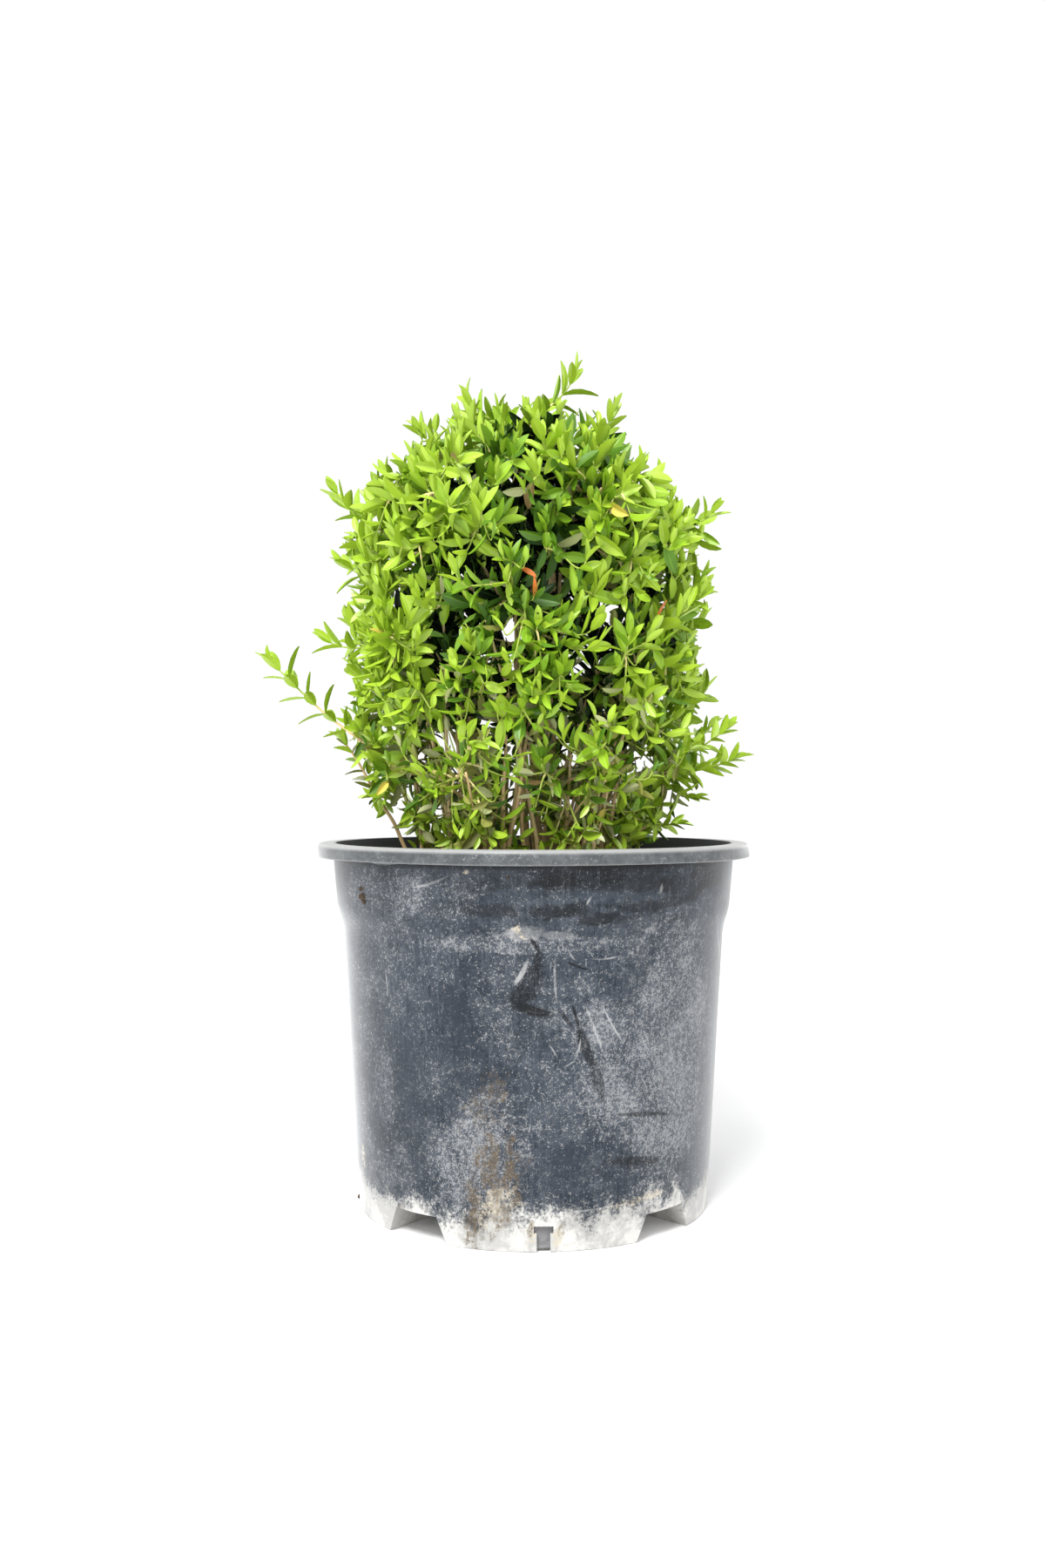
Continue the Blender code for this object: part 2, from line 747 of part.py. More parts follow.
def make_foliage(name, masses, limbs, tips, rng):
    """One mass: a stem that goes on from its limb, shoots that spring from the stem, and
    leaves along the shoots."""
    middle, limb = masses[name]
    space = Space(name, masses, limbs)
    foot = limb.points[-1]
    along = tangents(limb.points)[-1]
    start = foot + along * CLEARANCE
    end = start + (middle - start) * 1.35
    bend = start + along * 0.5 * (end - start).length
    stem = curve(start, bend, end, TWIG_STEPS + 1)
    radii = (limb.radii[-1] * 0.95, TWIG_RADII[1])
    meshes = [tube(stem, tapered(radii, len(stem)), STEM_SIDES, along)]
    space.taken = [BVHTree.FromBMesh(mesh) for mesh in meshes]
    shoots = []
    for tip, direction, scale in sorted(tips, key=lambda tip: tip[2]):
        while space.nearest_border(tip) < TIP_ROOM:
            tip = tip.lerp(space.own, 0.06)
        path = shoot_path(stem, tip, direction, scale, rng)
        if not space.holds(path[0], TWIG_RADII[0]):
            continue
        path = cut_to_space(path, TWIG_RADII[0], space)
        if len(path) < 3:
            continue
        meshes.append(tube(path, tapered(TWIG_RADII, len(path)), TWIG_SIDES))
        space.taken.append(BVHTree.FromBMesh(meshes[-1]))
        shoots.append((path, scale, space.taken[-1]))
    for path, scale, twig in shoots:
        leaves = shoot_leaves(path, space, twig, rng, scale)
        meshes += [leaf_mesh(points) for points in leaves]
    return fuse(name, meshes)


def main():
    clear_scene()
    rng = random.Random(SEED)
    make_pot()
    make_soil()
    limbs, masses = make_limbs()
    for limb in limbs.values():
        limb.build()
    tips = {name: [] for name in masses}
    wanted = [(place, way, 1.0) for place, way in crown_tips(SHOOT_TIPS, rng)]
    for x, y, z in LONG_SHOOTS.values():
        place = Vector((x, y, z))
        axis = Vector((CROWN_AXIS[0], CROWN_AXIS[1], CROWN_WAIST))
        wanted.append((place, (place - axis).normalized(), 0.72))
    for tip in wanted:
        nearest = min(masses, key=lambda name: (masses[name][0] - tip[0]).length)
        tips[nearest].append(tip)
    for name in masses:
        make_foliage(name, masses, limbs, tips[name], rng)


main()
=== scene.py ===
import random
from math import atan2, cos, degrees, hypot, pi, radians, sin, sqrt

import bmesh
import bpy
import numpy as np
from mathutils import Matrix, Vector, noise


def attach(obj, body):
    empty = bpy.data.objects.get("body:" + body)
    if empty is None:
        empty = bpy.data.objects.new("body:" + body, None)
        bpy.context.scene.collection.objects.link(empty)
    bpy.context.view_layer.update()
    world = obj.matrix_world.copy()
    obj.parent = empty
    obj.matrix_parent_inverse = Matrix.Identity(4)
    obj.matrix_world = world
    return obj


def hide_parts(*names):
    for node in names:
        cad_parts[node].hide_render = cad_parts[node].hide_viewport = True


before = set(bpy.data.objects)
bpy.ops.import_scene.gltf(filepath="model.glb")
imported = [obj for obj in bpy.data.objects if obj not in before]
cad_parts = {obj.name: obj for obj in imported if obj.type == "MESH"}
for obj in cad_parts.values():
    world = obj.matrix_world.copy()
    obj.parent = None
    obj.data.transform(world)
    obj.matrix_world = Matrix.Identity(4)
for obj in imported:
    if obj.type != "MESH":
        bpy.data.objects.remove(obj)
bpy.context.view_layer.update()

# Metres, +Z up, front to -Y. An azimuth is in degrees from the front, turning to +X.


# small helpers

def outwards(azimuth):
    angle = radians(azimuth)
    return Vector((sin(angle), -cos(angle), 0.0))


def clampShare(share):
    return min(max(share, 0.0), 1.0)


def blendValue(low, high, share):
    return low + (high - low) * clampShare(share)


def ramp(value, start, reach):
    return clampShare((value - start) / reach)


def placePiece(piece, slotName, *nodes):  # every piece rides on the one body
    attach(piece, "root")
    if nodes:
        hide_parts(*nodes)


def newObject(name, mesh):
    piece = bpy.data.objects.new(name, mesh)
    bpy.context.scene.collection.objects.link(piece)
    return piece


def objectFromBmesh(name, bm):
    mesh = bpy.data.meshes.new(name)
    bm.to_mesh(mesh)
    bm.free()
    return newObject(name, mesh)


def shapeFromBmesh(bm):
    points = np.array([vert.co[:] for vert in bm.verts])
    corners = [[vert.index for vert in face.verts] for face in bm.faces]
    bm.free()
    return points, corners


def joinedMesh(name, verts, faces, slots, finishes):
    mesh = bpy.data.meshes.new(name)
    mesh.from_pydata(verts, [], faces)
    for finish in finishes:
        mesh.materials.append(finish)
    mesh.polygons.foreach_set("material_index", slots)
    return newObject(name, mesh)


def joinedCopies(name, copies, finishes):
    # one mesh of many copies: (points and faces of the shape, axes, place, slot of each face)
    verts, faces, slots, start = [], [], [], 0
    for (points, corners), axes, place, faceSlots in copies:
        verts.append(points @ axes + np.array(place))
        faces += [[start + corner for corner in face] for face in corners]
        slots += faceSlots
        start += len(points)
    return joinedMesh(name, np.concatenate(verts).tolist(), faces, slots, finishes)


def smoothShading(piece, angle):
    piece.data.shade_smooth()
    piece.data.set_sharp_from_angle(angle=radians(angle))


# nodes

class Wire:
    # a node's output that is reckoned with like a number

    def __init__(self, socket):
        self.socket = socket

    def __add__(self, other):
        return calc("ADD", self, other)

    def __sub__(self, other):
        return calc("SUBTRACT", self, other)

    def __rsub__(self, other):
        return calc("SUBTRACT", other, self)

    def __mul__(self, other):
        return calc("MULTIPLY", self, other)


def setInputs(node, inputs):
    for key, value in inputs.items():
        socket = node.inputs[key]
        if isinstance(value, Wire):
            node.id_data.links.new(value.socket, socket)
        elif socket.type == "RGBA":
            socket.default_value = (*value, 1.0)
        else:
            socket.default_value = value


def addNode(kind, inputs, output=0, **settings):
    # joins the tree that the inputs' wires come from
    wire = next(value for value in inputs.values() if isinstance(value, Wire))
    made = wire.socket.id_data.nodes.new(kind)
    for key, value in settings.items():
        setattr(made, key, value)
    setInputs(made, inputs)
    return Wire(made.outputs[output])


def calc(operation, *values, clamp=False):
    return addNode("ShaderNodeMath", dict(enumerate(values)), operation=operation, use_clamp=clamp)


def vectorCalc(operation, *values):
    output = "Value" if operation in ("DOT_PRODUCT", "LENGTH") else "Vector"
    return addNode("ShaderNodeVectorMath", dict(enumerate(values)), output, operation=operation)


def splitParts(vector):
    split = addNode("ShaderNodeSeparateXYZ", {0: vector}).socket.node
    return [Wire(socket) for socket in split.outputs]


def joinParts(x, y, z=0.0):
    return addNode("ShaderNodeCombineXYZ", {0: x, 1: y, 2: z})


def remap(value, low, high, toLow=0.0, toHigh=1.0):
    inputs = {0: value, 1: low, 2: high, 3: toLow, 4: toHigh}
    return addNode("ShaderNodeMapRange", inputs, interpolation_type="SMOOTHSTEP")


def mixColours(share, under, over):
    return addNode("ShaderNodeMix", {0: share, 6: under, 7: over}, 2, data_type="RGBA")


def layered(colour, *layers):
    for share, over in layers:
        colour = mixColours(share, colour, over)
    return colour


def noiseValue(vector, scale, detail=3.0, roughness=0.55, distortion=0.0):
    return addNode("ShaderNodeTexNoise", {
        "Vector": vector, "Scale": scale, "Detail": detail, "Roughness": roughness,
        "Distortion": distortion}, "Fac")


def stretched(vector, scale, turn=(0.0, 0.0, 0.0)):
    return addNode("ShaderNodeMapping", {"Vector": vector, "Scale": scale, "Rotation": turn})


def newGroup(name, inputs, output):
    # an input with no value is a vector, and the only output is a vector unless it is a mask
    group = bpy.data.node_groups.new(name, "ShaderNodeTree")
    number, vector = "NodeSocketFloat", "NodeSocketVector"
    for label, value in inputs.items():
        kind = vector if value is None else number
        socket = group.interface.new_socket(label, in_out="INPUT", socket_type=kind)
        if value is not None:
            socket.default_value = value
    kind = number if output == "Mask" else vector
    group.interface.new_socket(output, in_out="OUTPUT", socket_type=kind)
    return {socket.name: Wire(socket) for socket in group.nodes.new("NodeGroupInput").outputs}


def closeGroup(value):
    group = value.socket.id_data
    setInputs(group.nodes.new("NodeGroupOutput"), {0: value})
    return group


def useGroup(group, **inputs):
    return addNode("ShaderNodeGroup", inputs, node_tree=group)


def makePatches():
    entry = newGroup("patches", {"Vector": None, "Scale": 10.0, "Low": 0.4, "High": 0.6,
                                 "Fine": 0.6}, "Mask")
    value = noiseValue(entry["Vector"], entry["Scale"], 6.0, entry["Fine"], 0.2)
    return closeGroup(remap(value, entry["Low"], entry["High"]))


def makeGrains():
    # two sizes of fine pale specks, thick where Cover is high
    entry = newGroup("grains", {"Vector": None, "Scale": 600.0, "Cover": 0.5}, "Mask")
    fine = noiseValue(entry["Vector"], entry["Scale"], 2.0, 0.6)
    coarse = noiseValue(entry["Vector"], entry["Scale"] * 0.37, 2.0)
    start = 0.7 - entry["Cover"] * 0.28
    return closeGroup(remap(fine * 0.62 + coarse * 0.38, start, start + 0.1))


def makeRoundPot():
    # unrolls the wall: millimetres round from the front, and height in millimetres
    x, y, z = splitParts(newGroup("roundPot", {"Vector": None}, "Face")["Vector"])
    return closeGroup(joinParts(calc("ARCTAN2", x, y * -1.0) * 120.0, z * 1000.0))


def makeSmear():
    # one rubbed mark: an oval with a bend and a ragged edge, in millimetres. The third part
    # of Face carries the marks made so far
    entry = newGroup("smear", {
        "Face": None, "Rough": 0.0, "Lines": 0.0, "Middle": None, "Along": None, "Across": None,
        "Bend": 0.0, "Ragged": 0.6, "Streaks": 0.3}, "Face")
    away = vectorCalc("SUBTRACT", entry["Face"], entry["Middle"])
    along = vectorCalc("DOT_PRODUCT", away, entry["Along"])
    squared = along * along
    across = vectorCalc("DOT_PRODUCT", away, entry["Across"]) - entry["Bend"] * squared
    reach = calc("SQRT", squared + across * across) + entry["Rough"] * entry["Ragged"]
    mask = remap(reach, 1.0, 0.55) * (1.0 - entry["Lines"] * entry["Streaks"])
    found = joinParts(-1e5, -1e5, mask)
    return closeGroup(vectorCalc("MAXIMUM", entry["Face"], found))


patches, grains, roundPot, smear = makePatches(), makeGrains(), makeRoundPot(), makeSmear()
print("node groups made")


def patchMask(vector, scale, low, high, fine=0.6):
    return useGroup(patches, Vector=vector, Scale=scale, Low=low, High=high, Fine=fine)


def newMaterial(name, roughness, colour=(0.5, 0.5, 0.5)):
    made = bpy.data.materials.new(name)
    made.use_nodes = True
    shader = made.node_tree.nodes["Principled BSDF"]
    setInputs(shader, {"Base Color": colour, "Roughness": roughness})
    return made, shader


def objectPlace(shader):
    return Wire(shader.id_data.nodes.new("ShaderNodeTexCoord").outputs["Object"])


def bumped(relief, strength, distance):
    return addNode("ShaderNodeBump", {"Strength": strength, "Distance": distance, "Height": relief})


# pot

pot = {
    "sides": 160, "height": 0.232, "wall": 0.0018,
    "rimRadius": 0.14, "rimDrop": 0.0087, "collarTop": 0.1302,
    "shoulderTop": (0.1268, 0.19), "shoulderFoot": (0.123, 0.179),
    "skirt": (0.114, 0.0202), "footRadius": 0.1125, "floorTop": 0.018,
    "channelTop": 0.016, "channelHalves": (0.0232, 0.016), "channelAzimuths": (-38.2, 44.4),
    "hubRadius": 0.014, "slotBar": (0.0115, 0.011, 0.0153), "slotStem": 0.008,
    "clearance": 0.0003, "soilTop": 0.208,
    "wobble": 0.0003, "burrAzimuth": -38.5, "burrHalf": 4.2, "burrDrop": 0.0021,
}


def turnedShape(name, profile, sides, rounded=()):
    # rounded: (index, radius) of the profile's corners that aren't sharp
    bm = bmesh.new()
    line = [bm.verts.new((radius, 0.0, height)) for radius, height in profile]
    for pair in zip(line, line[1:]):
        bm.edges.new(pair)
    for index, radius in rounded:
        bmesh.ops.bevel(bm, geom=[line[index]], offset=radius, segments=3, profile=0.5,
                        affect="VERTICES", material=-1)
    bmesh.ops.spin(bm, geom=bm.verts[:] + bm.edges[:], cent=(0, 0, 0), axis=(0, 0, 1),
                   angle=2 * pi, steps=sides, use_merge=True)
    bmesh.ops.remove_doubles(bm, verts=bm.verts[:], dist=1e-6)
    bmesh.ops.recalc_face_normals(bm, faces=bm.faces[:])
    return objectFromBmesh(name, bm)


def prism(name, corners, way, turn):
    # a flat outline pushed along way, and turned about the pot's axis
    bm = bmesh.new()
    face = bm.faces.new([bm.verts.new(corner) for corner in corners])
    raised = bmesh.ops.extrude_face_region(bm, geom=[face])
    verts = [part for part in raised["geom"] if isinstance(part, bmesh.types.BMVert)]
    bmesh.ops.translate(bm, verts=verts, vec=way)
    bmesh.ops.rotate(bm, verts=bm.verts[:], matrix=Matrix.Rotation(radians(turn), 3, "Z"))
    bmesh.ops.recalc_face_normals(bm, faces=bm.faces[:])
    return objectFromBmesh(name, bm)


def combine(piece, other, operation):
    step = piece.modifiers.new("join", "BOOLEAN")
    step.operation, step.object = operation, other
    bpy.context.view_layer.update()
    graph = bpy.context.evaluated_depsgraph_get()
    mesh = bpy.data.meshes.new_from_object(piece.evaluated_get(graph))
    piece.modifiers.clear()
    piece.data = mesh
    bpy.data.objects.remove(other, do_unlink=True)


def airChannel(azimuth, grown=0.0):
    footHalf, topHalf = pot["channelHalves"]
    slope = (footHalf - topHalf) / pot["channelTop"]
    low, top, reach = -0.002, pot["channelTop"] + grown, pot["rimRadius"]
    footHalf, topHalf = footHalf + grown - slope * low, topHalf + grown - slope * grown
    corners = ((-footHalf, -reach, low), (footHalf, -reach, low), (topHalf, -reach, top),
               (-topHalf, -reach, top))
    return prism("channel", corners, (0, 2 * reach, 0), azimuth)


def wallRadius(height):
    places = ((0.0, pot["footRadius"]), pot["skirt"][::-1], pot["shoulderFoot"][::-1],
              pot["shoulderTop"][::-1], (pot["height"], pot["collarTop"]))
    for (low, lowRadius), (high, highRadius) in zip(places, places[1:]):
        if height <= high:
            return blendValue(lowRadius, highRadius, (height - low) / (high - low))
    return pot["collarTop"]


def insideOfPot(top, inset, sides):
    wall = pot["wall"] + inset
    heights = [pot["floorTop"] + inset, pot["shoulderFoot"][1], pot["shoulderTop"][1], top]
    profile = [(0.0, heights[0])]
    profile += [(wallRadius(height) - wall, height) for height in heights]
    profile.append((0.0, top))
    inner = turnedShape("inside", profile, sides, ((2, 0.003), (3, 0.003)))
    padFloor, padWall = wall, pot["footRadius"] - wall
    padTop = pot["floorTop"] + 0.001
    pads = [(0.0, padFloor), (padWall, padFloor), (padWall, padTop), (0.0, padTop)]
    feet = turnedShape("feet", pads, sides)
    for azimuth in pot["channelAzimuths"]:
        combine(feet, airChannel(azimuth, pot["wall"] + inset), "DIFFERENCE")
    combine(inner, feet, "UNION")
    return inner


def drainSlot(azimuth):
    # T-shaped: a bar, and a stem down to the foot's edge
    width, barFoot, barTop = pot["slotBar"]
    inner, outer = -(pot["footRadius"] - 0.006), -(pot["footRadius"] + 0.004)

    def box(half, low, high):
        corners = ((-half, outer, low), (half, outer, low), (half, inner, low), (-half, inner, low))
        return prism("slot", corners, (0, 0, high - low), azimuth)

    slot = box(width / 2, barFoot, barTop)
    combine(slot, box(pot["slotStem"] / 2, -0.002, barFoot + 0.001), "UNION")
    return slot


def wornWall(piece):
    # a little out of round, with a torn burr of moulding flash under the lip
    for vert in piece.data.vertices:
        place = vert.co
        radius = hypot(place.x, place.y)
        if radius < 0.09:
            continue
        azimuth = degrees(atan2(place.x, -place.y))
        swell = noise.noise(Vector((place.x * 9, place.y * 9, place.z * 7))) * pot["wobble"]
        swell *= min(place.z / 0.05, 1.0)
        place.x *= 1 + swell / radius
        place.y *= 1 + swell / radius
        if radius > 0.1375:
            place.z += 0.0004 * noise.noise(Vector((place.x * 14, place.y * 14, 3.0)))
            if place.z < pot["height"] - pot["rimDrop"] + 0.0012:
                near = 1 - abs(azimuth - pot["burrAzimuth"]) / pot["burrHalf"]
                torn = 0.55 + 0.45 * noise.noise(Vector((azimuth * 1.9, 0.0, 7.0)))
                place.z -= pot["burrDrop"] * max(near, 0.0) ** 0.5 * torn


def makePot():
    height, foot, rim = pot["height"], pot["footRadius"], pot["rimRadius"]
    lipWall, lipFoot, under, edge = 0.0016, height - pot["rimDrop"], height - 0.0022, 0.0012
    skirt, skirtHeight = pot["skirt"]
    profile = (
        (0.0, 0.0), (foot, 0.0),
        (skirt - 0.0007, skirtHeight - 0.0009), pot["skirt"], (skirt, skirtHeight + 0.0008),
        pot["shoulderFoot"], pot["shoulderTop"], (pot["collarTop"], under),
        (rim - lipWall - 0.0006, under), (rim - lipWall, lipFoot), (rim, lipFoot),
        (rim - 0.0006, height), (0.0, height),
    )
    rounded = ((1, edge), (5, 0.005), (6, 0.004), (7, 0.0012), (8, 0.0008), (9, 0.0005),
               (10, 0.0007), (11, 0.0022))
    shell = turnedShape("potShell", profile, pot["sides"], rounded)
    for azimuth in pot["channelAzimuths"]:
        combine(shell, airChannel(azimuth), "DIFFERENCE")
    hubTop = pot["floorTop"] - 0.001
    hub = ((0.0, 0.0), (pot["hubRadius"], 0.0), (pot["hubRadius"], hubTop), (0.0, hubTop))
    combine(shell, turnedShape("hub", hub, 48), "UNION")
    combine(shell, insideOfPot(height + 0.001, 0.0, pot["sides"]), "DIFFERENCE")
    frontFoot = sum(pot["channelAzimuths"]) / 2
    for quarter in range(4):
        combine(shell, drainSlot(frontFoot + 90 * quarter), "DIFFERENCE")
    wornWall(shell)
    smoothShading(shell, 38)
    return shell


# marks on the wall, in millimetres and degrees: middle round the wall and up, half length and half
# width, turn, shares of ragged edge and of streaks, and the bend where there is one
darkMarks = (
    (16, 197, 20, 4.6, -4, 2.2, 0.2), (36, 193, 15, 4.6, 10, 2.2, 0.1),
    (74, 199, 46, 3.8, 5, 2, 0.3, 0.003), (104, 204, 20, 3.6, 24, 1.2, 0.2, 0.012),
    (58, 212, 34, 6.5, -3, 1.9, 0.3), (12, 214, 22, 4.5, 2, 1.9, 0.3),
    (-22, 197, 20, 5, 0, 1.8, 0.2), (1.2, 178, 7.5, 1.6, -58, 0.3, 0.2, -0.02),
    (2.5, 169, 8, 2.6, -108, 0.7, 0.6), (-1, 156, 15, 8, -112, 0.9, 0.8),
    (-7, 149, 11, 6.4, -118, 0.6, 0.45), (-1.5, 140.6, 15.5, 4, -19, 0.4, 0.15, 0.008),
    (19, 135, 8, 1.5, -50, 0.6, 0.4, -0.01), (24.5, 136.5, 9.5, 1.2, -73, 0.3, 0.1),
    (30, 119, 17, 3.8, -68, 0.5, 0.4, 0.004), (38, 99, 15, 4.4, -74, 0.9, 0.9, 0.004),
    (24.8, 165.3, 9, 0.9, -21, 0.3, 0.1, 0.006), (72, 76, 22, 1.6, -6, 1.4, 0.5),
    (66, 49, 26, 4, -6, 1.9, 0.6), (255, 140, 40, 7, 35, 0.9, 0.7, 0.01),
    (-285, 160, 38, 6, -28, 0.9, 0.7, 0.008),
)
shadeMarks = (
    (-48, 120, 60, 12, 84, 1.3, 0.5), (62, 158, 22, 9, 70, 1.2, 0.6),
    (-76, 86, 52, 15, 88, 1.3, 0.5), (16, 47, 34, 17, 6, 1, 0.4), (-190, 120, 60, 22, 82, 1.2, 0.6),
    (320, 90, 50, 18, 96, 1.2, 0.5), (-330, 70, 40, 16, 80, 1.2, 0.5),
    (168, 150, 46, 14, 62, 1.2, 0.7, 0.004),
)
paleMarks = (
    (-5, 184, 14, 5, 0, 1.8, 0.2), (14, 183, 14, 3, -4, 1.6, 0.4),
    (-6, 162, 10.5, 1.7, -118, 0.6, 0.2, -0.01), (12.2, 158, 15, 0.8, -88, 0.5, 0.4, 0.004),
    (21, 172, 5, 0.6, -60, 0.4, 0.2, 0.05), (42, 169, 11, 0.6, 4, 0.5, 0.3, 0.012),
    (47, 130, 18, 0.8, -58, 0.5, 0.4, 0.004), (11.7, 117, 6, 0.6, -58, 0.4, 0.2),
    (26, 116, 10, 0.7, 71, 0.5, 0.3, 0.02), (21, 109, 5, 0.6, 30, 0.4, 0.2, 0.03),
    (36, 128, 20, 1, -68, 0.6, 0.8), (-57, 212, 13, 1, 18, 0.5, 0.2, 0.008),
    (-96, 152, 9, 0.7, 96, 0.4, 0.2, 0.004), (30, 203, 3.5, 0.8, 60, 0.6, 0.2),
    (74, 208, 4, 1.2, 80, 1, 0.1), (40, 24, 26, 0.7, 3, 0.7, 0.4),
    (150, 170, 24, 1.2, -50, 0.6, 0.4, 0.006), (230, 120, 26, 1.4, 66, 0.6, 0.4, 0.008),
    (-170, 165, 18, 1.2, 40, 0.6, 0.4, 0.01), (-250, 110, 24, 1.6, -70, 0.6, 0.4, 0.006),
    (345, 150, 20, 1, 25, 0.6, 0.4, 0.008),
)
# dusty haze, and painted highlights: the two long upright marks at 178 mm either side of the front paint the
# bright edges of the wall where it turns away
hazeAndRimHighlightMarks = (
    (90, 112, 100, 50, 88, 1.6, 0), (44, 104, 56, 26, 104, 1.9, 0.3),
    (-32, 52, 46, 36, 62, 1.9, 0.2), (-6, 178, 70, 7, 0, 1.4, 0.2),
    (-178, 118, 130, 26, 90, 0.9, 0.2), (178, 118, 130, 22, 90, 0.9, 0.2),
    (-84, 206, 72, 15, 0, 1.2, 0.2), (-60, 198, 40, 9, 0, 1.4, 0.2),
    (200, 110, 80, 46, 84, 1.3, 0.2), (300, 140, 60, 30, 60, 1.4, 0.2),
    (-230, 90, 80, 44, 96, 1.3, 0.2), (-310, 130, 52, 30, 110, 1.4, 0.2),
)
brownMarks = (
    (-26, 42, 38, 20, 78, 2.2, 0.1), (-36, 14, 17, 10, 80, 1.8, 0.2), (-20, 24, 16, 12, 60, 2, 0.2),
    (-30, 84, 26, 12, 60, 2.6, 0.9), (-32, 13, 12, 3.2, 84, 1.5, 0.6),
    (-25, 12, 10, 2.2, 80, 1.5, 0.6), (-10, 34, 9, 6, 60, 2, 0.3),
    (17.5, 13, 6.5, 3.2, 70, 1.6, 0.1), (-1.5, 13, 5.5, 2.4, 80, 1.6, 0.1),
    (-95, 12, 9, 4, 70, 1.8, 0.2), (150, 30, 16, 8, 80, 1.8, 0.5), (-200, 26, 22, 9, 100, 1.8, 0.5),
    (290, 30, 24, 8, 85, 1.8, 0.5),
)
mudMarks = (
    (-111.2, 201, 4.4, 2.6, -80, 0.5, 0), (-110, 207, 1.8, 1.2, 60, 0.3, 0),
    (-13, 216.5, 1.4, 0.9, 80, 0.4, 0),
)
creamMarks = (
    (-36, 219, 2.2, 1.6, 0, 0.5, 0), (-8.8, 187, 3.4, 2.6, 10, 0.7, 0),
    (-6, 183, 4.4, 1.8, -40, 0.9, 0), (-0.5, 12, 3.4, 8, 0, 1.2, 0), (15, 10, 4.4, 8.5, 0, 1.2, 0),
    (-22, 26, 18, 12, 40, 2.4, 0.4), (-140, 38, 5, 9, 0, 1.8, 0), (70, 26, 30, 3, 6, 2.2, 0.5),
    (190, 24, 30, 6, 0, 1.6, 0.3), (-240, 28, 34, 8, 0, 1.6, 0.3), (330, 22, 26, 6, 0, 1.6, 0.3),
)
plastic = {
    "wiped": (0.001, 0.002, 0.003), "dark": (0.013, 0.02, 0.031), "middle": (0.025, 0.035, 0.05),
    "faded": (0.104, 0.117, 0.138), "chalk": (0.45, 0.45, 0.445), "lip": (0.056, 0.062, 0.067),
    "lipWorn": (0.106, 0.114, 0.119), "inside": (0.02, 0.023, 0.027),
    "lime": (0.65, 0.64, 0.608), "cream": (0.52, 0.46, 0.35), "brown": (0.098, 0.068, 0.033),
    "mud": (0.06, 0.038, 0.016), "limeTop": 23.0, "limeRagged": 24.0,
    "roughness": 0.36, "shine": 0.15, "coat": 0.08, "coatRoughness": 0.22,
    "dustiness": 0.6, "dustWidth": 0.35,
}
patterns = {  # stretch, scale, low and high limit, and fineness of the patchy masks
    "broad": ((1.0, 1.0, 0.35), 13.0, 0.36, 0.66), "cloudy": ((1.0, 1.0, 1.0), 42.0, 0.38, 0.68, 0.68),
    "smears": ((1.0, 1.0, 2.6), 17.0, 0.47, 0.6, 0.62), "turned": ((0.25, 0.25, 3.0), 160.0, 0.45, 0.75),
    "edge": ((1.0, 1.0, 0.5), 36.0, 0.3, 0.72, 0.62), "worn": ((1.0, 1.0, 1.0), 90.0, 0.35, 0.7, 0.7),
    "clumps": ((1.0, 1.0, 0.35), 150.0, 0.4, 0.58, 0.75),
}
bands = {  # heights on the wall in millimetres, where a look starts and where it is full
    "collar": (186.0, 193.0), "underLipShade": (219.0, 222.4), "lip": (222.6, 223.6),
    "lipTop": (229.0, 231.4), "lipFoot": (224.6, 223.4),
}


def marksMask(face, rough, lines, marks):
    for x, y, long, wide, turn, ragged, streaks, *bend in marks:
        right, up = cos(radians(turn)), sin(radians(turn))
        face = useGroup(
            smear, Face=face, Rough=rough, Lines=lines, Middle=(x, y, 0.0),
            Along=(right / long, up / long, 0.0), Across=(-up / wide, right / wide, 0.0),
            Bend=sum(bend) * long * long / wide, Ragged=ragged, Streaks=streaks)
    return splitParts(face)[2]


